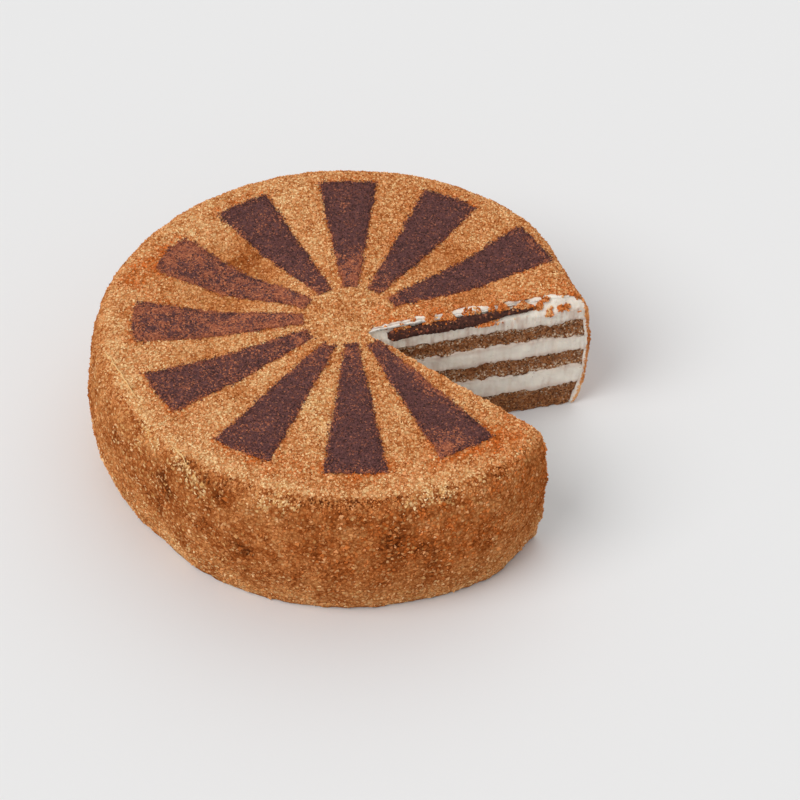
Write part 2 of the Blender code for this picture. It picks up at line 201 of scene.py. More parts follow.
# Single burnt crumbs on the left shoulder (angle in degrees, radius, height), all of one width
BURNT_WIDTH = 0.0019
BURNT_CRUMBS = (
    (158.0, 0.0960, 0.0525),
    (165.5, 0.0970, 0.0500),
    (171.0, 0.0985, 0.0480),
    (178.0, 0.0990, 0.0470),
    (-176.0, 0.0990, 0.0450),
    (-169.5, 0.1000, 0.0340),
    (-163.0, 0.0990, 0.0440),
)

# Blotches of pale cream just below the front rim (angle in degrees, radius, height, width)
PALE_BLOTCHES = (
    (-104.0, 0.0905, 0.0556, 0.0035),
    (-107.0, 0.0965, 0.0520, 0.0030),
    (-101.5, 0.0958, 0.0528, 0.0040),
    (-74.0, 0.0935, 0.0543, 0.0030),
    (-70.5, 0.0925, 0.0550, 0.0042),
    (-67.0, 0.0930, 0.0548, 0.0028),
    (-58.5, 0.0930, 0.0549, 0.0024),
    (-54.0, 0.0945, 0.0537, 0.0026),
)

# Spots of damp crumb and smudges of cream on the top (angle in degrees, radius, height, width, strength)
DAMP_SPOTS = (
    (163.7, 0.0869, 0.056, 0.0075, 1.0),
    (154.0, 0.0840, 0.056, 0.0080, 0.8),
    (172.0, 0.0700, 0.056, 0.0100, 0.6),
    (-48.0, 0.0830, 0.056, 0.0100, 0.6),
)
CREAM_SMUDGES = (
    (-107.0, 0.0460, 0.056, 0.0065, 0.45),
    (-98.0, 0.0560, 0.056, 0.0050, 0.30),
)
DARK_SPOT = (78.0, 0.055, 0.056, 0.02)

# The rays, numbered clockwise from the back, two of them in the notch
RAY_CENTRE = np.array((0.0, 0.0033))
RAY_PLACES = 12
RAY_STEP = math.radians(360.0 / RAY_PLACES)
RAY_FIRST_ANGLE = math.radians(92.8)
RAY_REACH = (0.0183, 0.0822)
RAY_HALF_ANGLES = (math.radians(8.2), math.radians(7.9))
RAYS_IN_NOTCH = (3, 4)
DUSTING_MARGIN = 0.0013

# Golden crumb among the cocoa: share in each ray, and single patches
RAY_RUST = (0.02, 0.03, 0.03, 0.0, 0.0, 0.0, 0.06, 0.09, 0.26, 0.60, 0.64, 0.06)
RUST_PATCHES = (
    # ray, radius, across, width, strength
    (5, 0.079, 0.009, 0.010, 0.85),
    (9, 0.081, 0.008, 0.005, 0.70),
    (10, 0.079, 0.006, 0.007, 0.80),
)
RUST_SPOT = (-97.0, 0.0500, 0.056, 0.004)
RUST_SPOT_RAY = 6
WORN_INNER_RAY = 0
WORN_SIDE_RAY = 5

# Rays that differ from the usual reach, have rubbed outer corners or are turned
RAY_ENDS = {
    0: (0.0183, 0.0815),
    2: (0.0183, 0.0852),
    5: (0.0158, 0.0812),
    6: (0.0146, 0.0825),
    7: (0.0172, 0.0815),
    10: (0.0183, 0.0806),
    11: (0.0183, 0.0802),
}
RAY_RUBBED = {9: 0.0030, 10: 0.0035}
RAY_TURNS = np.radians((0.0, 0.0, -0.5, 0.0, 0.0, 0.0, 0.0, 0.0, 0.6, -0.5, -1.1, -1.6))

# The camera, fitted to the picture, which is taken as 800 pixels wide
CAMERA_PLACE = Vector((0.0192, -0.7719, 0.7505))
CAMERA_PITCH = math.radians(43.55)
CAMERA_ROLL = math.radians(1.5)
CAMERA_FOCUS_PX = 2759.0
PICTURE_WIDTH_PX = 800.0
SENSOR_WIDTH_MM = 36.0

# The lights (name, direction, width, power) and the room's own light
LAMPS = (
    ("key", (-0.85, -0.55, 1.15), math.radians(40.0), 1.55),
    ("back", (0.3, 0.9, 1.3), math.radians(60.0), 0.45),
)
ROOM_LIGHT = 0.50

# Colours of details; where there are two, the first turns into the second
CREAMY_CRUMB = ((0.86, 0.50, 0.19), (0.98, 0.74, 0.42))
RUSTY_CRUMB = ((0.22, 0.052, 0.032), (0.62, 0.215, 0.095))
GAP_SHADOW = ((0.90, 0.84, 0.78), (0.54, 0.40, 0.30))
CRUMB_SPECKLE = ((0.83, 0.75, 0.68), (1.12, 1.14, 1.18))
SMEARED_CRUMB = (0.76, 0.60, 0.44)
SMEARED_SPONGE = (0.66, 0.47, 0.30)
CREAM_STAIN = (0.55, 0.33, 0.24)
CREAM_SPECK = (0.34, 0.15, 0.06)
FOLD_COLOUR = (0.86, 0.54, 0.23, 1.0)
FLOOR_COLOUR = (0.83, 0.83, 0.83, 1.0)
# Painted shade on the cocoa sliver of the torn slope: its cocoa made darker and browner
SLIVER_PAINTED_SHADE = (0.52, 0.44, 0.30)

# Crumbs: the most triangles of a piece, their shapes, and how densely they are strewn
MOST_TRIANGLES = 198000
TOAST_SIZE = 1.5
SHAPE_COUNT = 7
TINT_FOLD = 17.3
TINT_SEED = 77.0
CRUMB_TRIES = 1.6
CRUMB_SPACING = 0.62
LOWEST_POINT = 0.0001

# What is added to the seed for the crumbs that lie outside the coat's face
RIM_SEED = 4
COCOA_SEED = 5
TORN_SEED = 8
SPONGE_SEED = 9

# Points of each body's grid: along it or round the cake, across or outwards, and up
RAY_GRID = (84, 26, 3)
DUSTING_GRID = (70, 24)
LAYER_GRID = (26, 190)
LAYER_ROW = 0.0005
FROSTING_GRID = (90, 190, 24)
SKIRT_GRID = (160, 4, 24)
STRIP_GRID = (120, 14, 4)
SLIVER_GRID = (120, 12, 4)
TORN_GRID = (220, 20)
FOLD_GRID = (70, 4, 3)

# Faces of a cut: how far they may lie from the wall, and how squarely they look into the notch
CUT_REACH = 0.0085
CUT_FACING = -0.4


def length_field(name, default, description):
    """A length that the user may change."""
    return FloatProperty(name=name, description=description, default=default, unit="LENGTH")


def count_field(name, default, description):
    """A whole number that the user may change."""
    return IntProperty(name=name, description=description, default=default)


def colour_field(name, default, description):
    """A colour that the user may change."""
    return FloatVectorProperty(name=name, description=description, default=default, subtype="COLOR")


class CakeSizes(bpy.types.PropertyGroup):
    """Sizes and numbers of the crumbs that cover the cake."""

    base_inset: length_field("Base inset", 0.0009, "How deep the ground lies below the coat's face")
    top_crumb: length_field("Top crumb", 0.00052, "Half width of a usual crumb on the top")
    side_crumb: length_field("Side crumb", 0.00060, "Half width of a usual crumb on the side")
    cocoa_crumb: length_field("Cocoa crumb", 0.00031, "Half width of a usual crumb of cocoa")
    sponge_crumb: length_field("Sponge crumb", 0.00048, "Half width of a usual crumb on the cut sponge")
    top_count: count_field("Top crumbs", 24000, "How many crumbs lie on the top")
    side_count: count_field("Side crumbs", 24000, "How many golden crumbs stick to the side")
    toast_count: count_field("Toasted crumbs", 4600, "How many larger toasted crumbs stick to the side")
    rim_count: count_field("Rim crumbs", 2200, "How many crumbs show where the coat is cut")
    cocoa_count: count_field("Cocoa crumbs", 23500, "How many fine dark crumbs lie on the rays")
    sponge_count: count_field("Sponge crumbs", 15000, "How many crumbs stand out of the cut sponge")
    torn_count: count_field("Torn crumbs", 2600, "How many crumbs lie on the torn slope")
    seed: count_field("Seed", 11, "Start of every random draw")


class CakeColours(bpy.types.PropertyGroup):
    """Colours of the cake's finishes."""

    crumb_pale: colour_field("Pale crumb", (1.0, 0.73, 0.39), "The lightest crumbs")
    crumb_gold: colour_field("Golden crumb", (0.76, 0.345, 0.124), "Most of the crumbs")
    crumb_brown: colour_field("Brown crumb", (0.43, 0.128, 0.031), "Crumbs baked a little longer")
    crumb_toast: colour_field("Toasted crumb", (0.14, 0.040, 0.012), "The darkest crumbs")
    crumb_damp: colour_field("Damp crumb", (0.72, 0.20, 0.042), "Orange-red crumb that has soaked up damp")
    cocoa: colour_field("Cocoa", (0.120, 0.044, 0.040), "The rays")
    cocoa_dark: colour_field("Damp cocoa", (0.045, 0.016, 0.013), "Cocoa where it is thick or damp")
    sponge: colour_field("Sponge", (0.34, 0.118, 0.037), "The baked honey layers")
    sponge_light: colour_field("Light sponge", (0.52, 0.25, 0.105), "Sponge crumb that catches the light")
    cream: colour_field("Cream", (0.98, 0.90, 0.785), "The sour cream between and round the layers")


def sizes():
    return bpy.context.scene.cake_sizes


def colours():
    return bpy.context.scene.cake_colours


# Helpers for shapes and marks

def bell(value, middle, width):
    """1 at the middle, falling off smoothly to 0 over about twice the width."""
    return np.exp(-(((value - middle) / width) ** 2))


def rise(value, start, length, low=0.0, high=1.0):
    """Grows from 0 at the start to 1 over the length, held between low and high."""
    return np.clip((value - start) / length, low, high)


def joined(*parts):
    """Coordinates put together as places; a plain number is the same for all of them."""
    return np.stack(np.broadcast_arrays(*parts), axis=-1)


def polar(points):
    """Angle in degrees and radius of places round the cake's axis."""
    x, y = points[..., 0], points[..., 1]
    return np.degrees(np.arctan2(y, x)), np.hypot(x, y)


def swell(angles, places):
    """Depth at angles round the cake, added up over places given by angle, half width and depth."""
    total = np.zeros_like(angles)
    for middle, half_width, depth in places:
        away = (angles - middle + math.pi) % (2.0 * math.pi) - math.pi
        total += depth * bell(away, 0.0, half_width)
    return total


def ripple(points, size, shift=0.0):
    """Smooth noise, about -1 to 1, with bumps of the given size; size may differ by axis."""
    scaled = np.asarray(points, float) / np.asarray(size, float) + shift
    flat = scaled.reshape(-1, 3).tolist()
    values = np.fromiter((noise.noise(Vector(place)) for place in flat), float, len(flat))
    return values.reshape(scaled.shape[:-1])


def bumps(points, kinds):
    """Unevenness at points, added up over kinds of bump given by depth, size and shift."""
    return sum(depth * ripple(points, size, shift) for depth, size, shift in kinds)


# Shape of the settled cake

def settle(points):
    """Moves points of the ideal round cake to where they lie in the real, uneven one."""
    x, y, z = points[..., 0], points[..., 1], points[..., 2]
    radius = np.hypot(x, y)
    angle = np.arctan2(y, x)
    share = radius / CAKE_RADIUS
    keep = 1.0 - swell(angle, DENTS) * share ** DENT_POWER / np.maximum(radius, TINY)
    freedom = np.sin(math.pi * np.clip(z / CAKE_HEIGHT, 0.0, 1.0))
    wave = ripple(points, (WAVE_LENGTH, WAVE_LENGTH, WAVE_LENGTH_UP)) * WAVE_HEIGHT * freedom
    low = LAYER_LEVELS[-1]
    soft = rise(z, low, CAKE_HEIGHT - COAT_THICKNESS - low)
    sag = swell(angle, SAGS) * bell(radius, SAG_RADIUS, SAG_WIDTH) * soft
    return joined(x * keep, y * keep, z + wave - sag)


def side_radius(height):
    """Radius of the coat's side, which bellies out between the foot and the shoulder."""
    middle = 0.5 * CAKE_HEIGHT
    low = np.clip((middle - height) / middle, 0.0, None)
    high = np.clip((height - middle) / (SHOULDER_HEIGHT - middle), 0.0, None)
    foot_tuck = (CAKE_RADIUS - FOOT_RADIUS) * low ** SIDE_FULLNESS
    shoulder_tuck = (CAKE_RADIUS - SHOULDER_RADIUS) * high ** SIDE_FULLNESS
    return CAKE_RADIUS - (foot_tuck + shoulder_tuck)


def shoulder_radius(height, inset):
    """Radius over the shoulder, for a face that lies inset below the coat's own."""
    up = rise(height, SHOULDER_HEIGHT, CAKE_HEIGHT - inset - SHOULDER_HEIGHT)
    turn = np.arcsin(up ** (1.0 / SHOULDER_FULLNESS))
    across = SHOULDER_RADIUS - inset - RIM_RADIUS
    return RIM_RADIUS + across * np.cos(turn) ** SHOULDER_FULLNESS


def coat_profile(inset, foot, side_rows, shoulder_rows, top_rows):
    """Profile (radius, height) from the foot up the side, over the shoulder and in to the axis."""
    height = np.linspace(foot, SHOULDER_HEIGHT, side_rows)
    side = np.stack((side_radius(height) - inset, height), axis=1)
    turn = np.linspace(0.0, 0.5 * math.pi, shoulder_rows + 1)[1:]
    across = SHOULDER_RADIUS - inset - RIM_RADIUS
    up = CAKE_HEIGHT - inset - SHOULDER_HEIGHT
    shoulder = np.stack((
        RIM_RADIUS + across * np.clip(np.cos(turn), 0.0, 1.0) ** SHOULDER_FULLNESS,
        SHOULDER_HEIGHT + up * np.sin(turn) ** SHOULDER_FULLNESS,
    ), axis=1)
    radius = np.linspace(RIM_RADIUS, 0.0, top_rows + 1)[1:]
    top = np.stack((radius, np.full(top_rows, CAKE_HEIGHT - inset)), axis=1)
    return np.concatenate((side, shoulder, top))


def wall_end(wall_angle):
    """Where a cut wall's line leaves the full radius: its angle round the cake, and its length."""
    run = np.array((math.cos(wall_angle), math.sin(wall_angle)))
    along = float(run @ NOTCH_TIP)
    length = -along + math.sqrt(along ** 2 - float(NOTCH_TIP @ NOTCH_TIP) + CAKE_RADIUS ** 2)
    end = NOTCH_TIP + run * length
    return math.atan2(end[1], end[0]), length


FAR_END_ANGLE, FAR_LENGTH = wall_end(FAR_WALL_ANGLE)
NEAR_END_ANGLE, NEAR_LENGTH = wall_end(NEAR_WALL_ANGLE)
SWEEP = NEAR_END_ANGLE + 2.0 * math.pi - FAR_END_ANGLE


def spread(radius, angle, height):
    """A place by radius and angle, drawn towards the notch's tip so that both walls are straight."""
    share = 1.0 - radius / CAKE_RADIUS
    x = NOTCH_TIP[0] * share + radius * np.cos(angle)
    y = NOTCH_TIP[1] * share + radius * np.sin(angle)
    return joined(x, y, height)


def wall_frame(wall_angle):
    """Directions along a cut wall and square back from it into the cake."""
    run = np.array((math.cos(wall_angle), math.sin(wall_angle), 0.0))
    back = np.array((-run[1], run[0], 0.0))
    if wall_angle < 0.0:
        back = -back
    return run, back


def tear_depth(along):
    """How far behind the far wall the torn slope reaches the top."""
    share = rise(along, TEAR_START, TEAR_END - TEAR_START)
    ragged = bumps(joined(along, 0.018, 0.0), TEAR_BUMPS)
    return TEAR_DEPTH_MIN + TEAR_DEPTH_SWELL * np.sin(math.pi * share) + ragged


def tear_point(along, share, lift):
    """A point on the torn slope: share 0 at its lower edge, 1 at the top, lift square to it."""
    run, back = wall_frame(FAR_WALL_ANGLE)
    depth = tear_depth(along)
    climb = CAKE_HEIGHT - TEAR_LOW
    length = np.hypot(depth, climb)
    behind = depth * share - lift * climb / length
    height = TEAR_LOW + climb * share + lift * depth / length
    place = np.append(NOTCH_TIP, 0.0) + run * along[..., None] + back * behind[..., None]
    place[..., 2] = height
    return place


# Mesh building

def add_object(name, mesh):
    thing = bpy.data.objects.new(name, mesh)
    bpy.context.scene.collection.objects.link(thing)
    return thing


def set_attribute(mesh, name, values):
    """Writes one number for each vertex, in a new layer if there is none of that name."""
    layer = mesh.attributes.get(name) or mesh.attributes.new(name, "FLOAT", "POINT")
    layer.data.foreach_set("value", np.asarray(values, np.float32).ravel())


def read_attribute(mesh, name):
    values = np.empty(len(mesh.vertices), np.float32)
    mesh.attributes[name].data.foreach_get("value", values)
    return values


def read_places(mesh):
    places = np.empty(len(mesh.vertices) * 3, np.float32)
    mesh.vertices.foreach_get("co", places)
    return places.reshape(-1, 3)


def grid_faces(rows, columns, start=0):
    """Corners of the faces between a grid's points, counted from start."""
    index = start + np.arange(rows * columns).reshape(rows, columns)
    corners = (index[:-1, :-1], index[:-1, 1:], index[1:, 1:], index[1:, :-1])
    return np.stack(corners, axis=-1).reshape(-1, 4)


def mesh_from(name, points, faces, attributes=None):
    mesh = bpy.data.meshes.new(name)
    mesh.from_pydata(points.reshape(-1, 3).tolist(), [], faces.tolist())
    for key, values in (attributes or {}).items():
        set_attribute(mesh, key, values)
    mesh.update()
    return mesh


def clean(mesh):
    """Merges the seams and poles, drops faces without area and points the rest outwards."""
    solid = bmesh.new()
    solid.from_mesh(mesh)
    bmesh.ops.remove_doubles(solid, verts=solid.verts, dist=2e-6)
    bmesh.ops.dissolve_degenerate(solid, edges=solid.edges, dist=1e-7)
    bmesh.ops.recalc_face_normals(solid, faces=solid.faces)
    solid.to_mesh(mesh)
    solid.free()
    mesh.update()


def block(name, point, counts, attributes=None):
    """A closed body whose six faces are grids of point(a, b, c), each argument from 0 to 1."""
    samples = [np.linspace(0.0, 1.0, count) for count in counts]
    all_points, all_faces, start = [], [], 0
    for axis in range(3):
        first, second = [other for other in range(3) if other != axis]
        for end in (0.0, 1.0):
            values = [None, None, None]
            values[first], values[second] = np.meshgrid(samples[first], samples[second], indexing="ij")
            values[axis] = np.full_like(values[first], end)
            points = point(*values)
            all_points.append(points.reshape(-1, 3))
            all_faces.append(grid_faces(*values[first].shape, start))
            start += points.shape[0] * points.shape[1]
    points = np.concatenate(all_points)
    found = {key: rule(points) for key, rule in (attributes or {}).items()}
    mesh = mesh_from(name, points, np.concatenate(all_faces), found)
    clean(mesh)
    return add_object(name, mesh)


def finish_piece(piece, material, slot, *nodes, smooth=True):
    """Gives a piece its material, its ride and the nodes that it stands for."""
    piece.data.materials.clear()
    piece.data.materials.append(material)
    if smooth:
        piece.data.shade_smooth()
    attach(piece, "root")
    if nodes:
        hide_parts(*nodes)
    return piece


def plain_mesh(thing, name):
    """The evaluated object as a mesh without modifiers, in place of the object."""
    graph = bpy.context.evaluated_depsgraph_get()
    mesh = bpy.data.meshes.new_from_object(thing.evaluated_get(graph))
    mesh.name = name
    thing.modifiers.clear()
    thing.data = mesh
    return thing


# Materials

def new_node(tree, kind, inputs=None, **settings):
    """Adds a node with its settings; each input is given a value or linked to a socket."""
    node = tree.nodes.new(kind)
    for key, value in settings.items():
        setattr(node, key, value)
    for key, value in (inputs or {}).items():
        if isinstance(value, bpy.types.NodeSocket):
            tree.links.new(value, node.inputs[key])
        else:
            node.inputs[key].default_value = value
    return node


class Finish:
    """A Principled material under construction: short calls add and link its nodes."""

    def __init__(self, name, roughness, specular=0.5):
        self.material = bpy.data.materials.new(name)
        self.material.use_nodes = True
        self.tree = self.material.node_tree
        self.shader = self.tree.nodes["Principled BSDF"]
        self.shader.inputs["Roughness"].default_value = roughness
        self.shader.inputs["Specular IOR Level"].default_value = specular
        self.place = self.add("ShaderNodeTexCoord").outputs["Object"]

    def add(self, kind, inputs=None, **settings):
        return new_node(self.tree, kind, inputs, **settings)

    def attribute(self, name):
        return self.add("ShaderNodeAttribute", attribute_name=name).outputs["Fac"]

    def noise(self, size, detail=2.0, roughness=0.5):
        inputs = {"Scale": 1.0 / size, "Detail": detail, "Roughness": roughness, "Vector": self.place}
        return self.add("ShaderNodeTexNoise", inputs).outputs["Fac"]

    def cells(self, size, output="Color"):
        inputs = {"Scale": 1.0 / size, "Vector": self.place}
        return self.add("ShaderNodeTexVoronoi", inputs).outputs[output]

    def ramp(self, source, stops):
        node = self.add("ShaderNodeValToRGB", {"Fac": source})
        ladder = node.color_ramp.elements
        while len(ladder) < len(stops):
            ladder.new(0.5)
        for step, (place, colour) in zip(ladder, stops):
            step.position = place
            step.color = (*colour, 1.0)
        return node.outputs["Color"]

    def math(self, operation, first, second):
        return self.add("ShaderNodeMath", {0: first, 1: second}, operation=operation).outputs["Value"]

    def range(self, source, low, high, to_low=0.0, to_high=1.0):
        inputs = {"Value": source, "From Min": low, "From Max": high, "To Min": to_low, "To Max": to_high}
        return self.add("ShaderNodeMapRange", inputs).outputs["Result"]

    def mix(self, share, first, second, blend="MIX"):
        """Mixes two colours, each a socket or three numbers."""
        first, second = [(*side, 1.0) if isinstance(side, tuple) else side for side in (first, second)]
        inputs = {0: share, 6: first, 7: second}
        return self.add("ShaderNodeMix", inputs, data_type="RGBA", blend_type=blend).outputs[2]

    def speckled(self, share, chance, softness):
        """Turns a share into nearly 0 or 1 for each crumb, 1 for that share of the crumbs."""
        return self.range(self.math("SUBTRACT", share, chance), -softness, softness)

    def colour(self, source):
        self.tree.links.new(source, self.shader.inputs["Base Color"])

    def bump(self, height, distance, strength=1.0):
        node = self.add("ShaderNodeBump", {"Strength": strength, "Distance": distance, "Height": height})
        self.tree.links.new(node.outputs["Normal"], self.shader.inputs["Normal"])


def shade(colour, factor):
    """A colour made darker or lighter, by one factor or one for each part."""
    return tuple(np.minimum(np.multiply(colour, factor), 1.0).tolist())


def chances(finish, cell_size=None):
    """Two numbers from 0 to 1 for each crumb: its tint, and another one.

    Strewn crumbs carry their tint, and a ground takes both from cells of the given size.
    """
    if cell_size is None:
        tint = finish.attribute("tint")
        return tint, finish.math("FRACT", finish.math("MULTIPLY", tint, TINT_FOLD), 0.0)
    split = finish.add("ShaderNodeSeparateColor", {"Color": finish.cells(cell_size)})
    return split.outputs["Red"], split.outputs["Green"]


def crumb_tones(finish, tint, chance):
    """Colour of a crumb from its own tint and from where it lies: tone, dampness and cream."""
    look = colours()
    drift = finish.range(finish.noise(0.011, 3.0), 0.3, 0.7, -0.10, 0.10)
    own = finish.math("MULTIPLY", finish.range(tint, 0.0, 1.0, -0.34, 0.34), finish.attribute("spread"))
    level = finish.math("ADD", finish.math("ADD", own, finish.attribute("tone")), drift)
    body = finish.ramp(level, (
        (0.00, tuple(look.crumb_toast)),
        (0.22, tuple(look.crumb_brown)),
        (0.55, tuple(look.crumb_gold)),
        (0.98, tuple(look.crumb_pale)),
    ))
    damp = finish.mix(tint, shade(look.crumb_damp, 0.62), shade(look.crumb_damp, 1.25))
    body = finish.mix(finish.speckled(finish.attribute("damp"), chance, 0.30), body, damp)
    creamy = finish.mix(tint, *CREAMY_CRUMB)
    return finish.mix(finish.speckled(finish.attribute("creamy"), chance, 0.15), body, creamy)


def crumb_ground_finish():
    """The ground between the crumbs: packed fine crumb in small cells."""
    finish = Finish("crumb_ground", 0.95, specular=0.0)
    cell_size = 0.0011
    tones = crumb_tones(finish, *chances(finish, cell_size))
    gaps = finish.range(finish.cells(cell_size, "Distance"), 0.2, 0.75)
    finish.colour(finish.mix(1.0, tones, finish.mix(gaps, *GAP_SHADOW), "MULTIPLY"))
    finish.bump(finish.noise(0.0009, 3.0), 0.0006)
    return finish.material


def crumb_finish():
    """Loose crumbs: each has its own tint."""
    finish = Finish("golden_crumb", 0.92, specular=0.0)
    tones = crumb_tones(finish, *chances(finish))
    speckle = finish.mix(finish.range(finish.noise(0.0004, 2.0), 0.3, 0.7), *CRUMB_SPECKLE)
    finish.colour(finish.mix(1.0, tones, speckle, "MULTIPLY"))
    return finish.material


def cocoa_finish(name, from_crumbs, strength=1.0):
    """Dark cocoa with a few golden and red crumbs showing through."""
    look = colours()
    finish = Finish(name, 0.8, specular=0.3)
    tint, chance = chances(finish) if from_crumbs else chances(finish, 0.0007)
    dark = finish.ramp(tint, (
        (0.0, shade(look.cocoa_dark, strength)),
        (0.40, shade(look.cocoa, strength)),
        (1.0, shade(look.cocoa, np.multiply(1.4, strength))),
    ))
    rusty = finish.mix(tint, *RUSTY_CRUMB)
    finish.colour(finish.mix(finish.speckled(finish.attribute("rust"), chance, 0.15), dark, rusty))
    if not from_crumbs:
        finish.bump(finish.noise(0.0006, 3.0), 0.0004)
    return finish.material


def sponge_crumb_finish():
    """Grains that stand out of the cut sponge."""
    look = colours()
    finish = Finish("sponge_crumb", 0.9, specular=0.2)
    tint, chance = chances(finish)
    body = finish.ramp(tint, (
        (0.0, shade(look.sponge, 0.30)),
        (0.5, tuple(look.sponge)),
        (1.0, tuple(look.sponge_light)),
    ))
    share = finish.range(finish.attribute("smear"), 0.0, 1.0, -0.05, 0.40)
    finish.colour(finish.mix(finish.speckled(share, chance, 0.1), body, SMEARED_CRUMB))
    return finish.material


def cream_finish():
    """Soft matt cream, with sponge stain and crumbs dragged into it."""
    look = colours()
    finish = Finish("soft_cream", 0.5)
    finish.shader.inputs["Subsurface Weight"].default_value = 0.12
    finish.shader.inputs["Subsurface Radius"].default_value = (0.0012, 0.0009, 0.0006)
    cloud = finish.range(finish.noise(0.004, 4.0, 0.6), 0.3, 0.75)
    body = finish.mix(cloud, shade(look.cream, 0.93), tuple(look.cream))
    stained = finish.mix(finish.attribute("stain"), body, CREAM_STAIN)
    specks = finish.range(finish.noise(0.0011, 2.0), 0.70, 0.76)
    sparse = finish.math("MULTIPLY", specks, finish.range(finish.noise(0.006, 2.0), 0.45, 0.6))
    finish.colour(finish.mix(sparse, stained, CREAM_SPECK))
    finish.bump(finish.noise(0.0013, 4.0, 0.6), 0.0005, 0.8)
    return finish.material


def sponge_finish():
    """Open brown crumb with painted shade in its pores, lighter grains and smeared cream."""
    look = colours()
    finish = Finish("honey_sponge", 0.92)
    grain = chances(finish, 0.0010)[0]
    mottle = finish.math("ADD", grain, finish.range(finish.noise(0.004, 3.0), 0.3, 0.7, -0.25, 0.2))
    body = finish.ramp(mottle, (
        (0.0, shade(look.sponge, 0.55)),
        (0.40, shade(look.sponge, 0.90)),
        (0.72, shade(look.sponge, 1.25)),
        (1.0, tuple(look.sponge_light)),
    ))
    # Painted shade in the sponge's pores
    pores = finish.range(finish.noise(0.0016, 3.0, 0.65), 0.40, 0.52, 0.5, 1.0)
    body = finish.mix(1.0, body, pores, "MULTIPLY")
    broken = finish.range(finish.noise(0.0014, 4.0, 0.7), 0.47, 0.58)
    smear = finish.math("MULTIPLY", finish.attribute("smear"), broken)
    finish.colour(finish.mix(smear, body, SMEARED_SPONGE))
    finish.bump(finish.noise(0.0011, 4.0, 0.7), 0.0009)
    return finish.material


# Crumb scatter

def crumb_shapes(count, seed):
    """A few rough crumbs, each an octahedron pushed out of shape, half width about 1."""
    draw = random.Random(seed)
    group = bpy.data.collections.new("crumb_shapes")
    for _ in range(count):
        solid = bmesh.new()
        bmesh.ops.create_uvsphere(solid, u_segments=4, v_segments=2, radius=1.0)
        for vertex in solid.verts:
            vertex.co *= draw.uniform(0.75, 1.2)
            vertex.co += Vector([draw.uniform(-0.25, 0.25) for _ in range(3)])
        mesh = bpy.data.meshes.new("crumb_shape")
        solid.to_mesh(mesh)
        solid.free()
        group.objects.link(bpy.data.objects.new("crumb_shape", mesh))
    return group


def scatter_tree():
    """Geometry nodes that strew crumbs over a surface, as plain geometry."""
    tree = bpy.data.node_groups.new("strewn_crumbs", "GeometryNodeTree")
    sockets = (
        ("Geometry", "Geometry"),
        ("Shapes", "Collection"),
        ("Crumbs per area", "Float"),
        ("Spacing", "Float"),
        ("Smallest", "Float"),
        ("Largest", "Float"),
        ("Sink", "Float"),
        ("Seed", "Int"),
        ("Finish", "Material"),
    )
    for name, kind in sockets:
        tree.interface.new_socket(name, in_out="INPUT", socket_type="NodeSocket" + kind)
    tree.interface.new_socket("Geometry", in_out="OUTPUT", socket_type="NodeSocketGeometry")
    start = tree.nodes.new("NodeGroupInput").outputs
    seed = start["Seed"]

    def node(kind, inputs, **settings):
        return new_node(tree, kind, inputs, **settings)

    cover = node("GeometryNodeInputNamedAttribute", {"Name": "cover"}, data_type="FLOAT")
    points = node("GeometryNodeDistributePointsOnFaces", {
        "Mesh": start["Geometry"],
        "Distance Min": start["Spacing"],
        "Density Max": start["Crumbs per area"],
        "Density Factor": cover.outputs["Attribute"],
        "Seed": seed,
    }, distribute_method="POISSON")
    drop = node("ShaderNodeMath", {0: start["Sink"], 1: -1.0}, operation="MULTIPLY").outputs[0]
    deep = node("ShaderNodeVectorMath", {0: points.outputs["Normal"], "Scale": drop}, operation="SCALE")
    sunk = node("GeometryNodeSetPosition", {"Geometry": points.outputs["Points"], "Offset": deep.outputs[0]})

    shapes = node("GeometryNodeCollectionInfo", {
        "Collection": start["Shapes"],
        "Separate Children": True,
        "Reset Children": True,
    })
    whole_turn = (2.0 * math.pi,) * 3
    turn = node("FunctionNodeRandomValue", {"Max": whole_turn, "Seed": seed}, data_type="FLOAT_VECTOR")
    span = {2: start["Smallest"], 3: start["Largest"], "Seed": seed}
    size = node("FunctionNodeRandomValue", span, data_type="FLOAT")
    which = node("FunctionNodeRandomValue", {4: 0, 5: 999, "Seed": seed}, data_type="INT")
    strewn = node("GeometryNodeInstanceOnPoints", {
        "Points": sunk.outputs["Geometry"],
        "Instance": shapes.outputs["Instances"],
        "Pick Instance": True,
        "Instance Index": which.outputs[2],
        "Rotation": turn.outputs["Value"],
        "Scale": size.outputs[1],
    })

    tint_seed = node("ShaderNodeMath", {0: seed, 1: TINT_SEED}, operation="ADD")
    tint = node("FunctionNodeRandomValue", {"Seed": tint_seed.outputs[0]}, data_type="FLOAT")
    tinted = node("GeometryNodeStoreNamedAttribute", {
        "Geometry": strewn.outputs["Instances"],
        "Name": "tint",
        "Value": tint.outputs[1],
    }, data_type="FLOAT", domain="INSTANCE").outputs["Geometry"]
    real = node("GeometryNodeRealizeInstances", {"Geometry": tinted}).outputs["Geometry"]
    dressed = node("GeometryNodeSetMaterial", {"Geometry": real, "Material": start["Finish"]})
    node("NodeGroupOutput", {"Geometry": dressed.outputs["Geometry"]})


def surface_area(mesh):
    """Area of a mesh, each face weighed by how much of it crumbs may cover."""
    cover = read_attribute(mesh, "cover")
    return sum(face.area * float(np.mean(cover[list(face.vertices)])) for face in mesh.polygons)


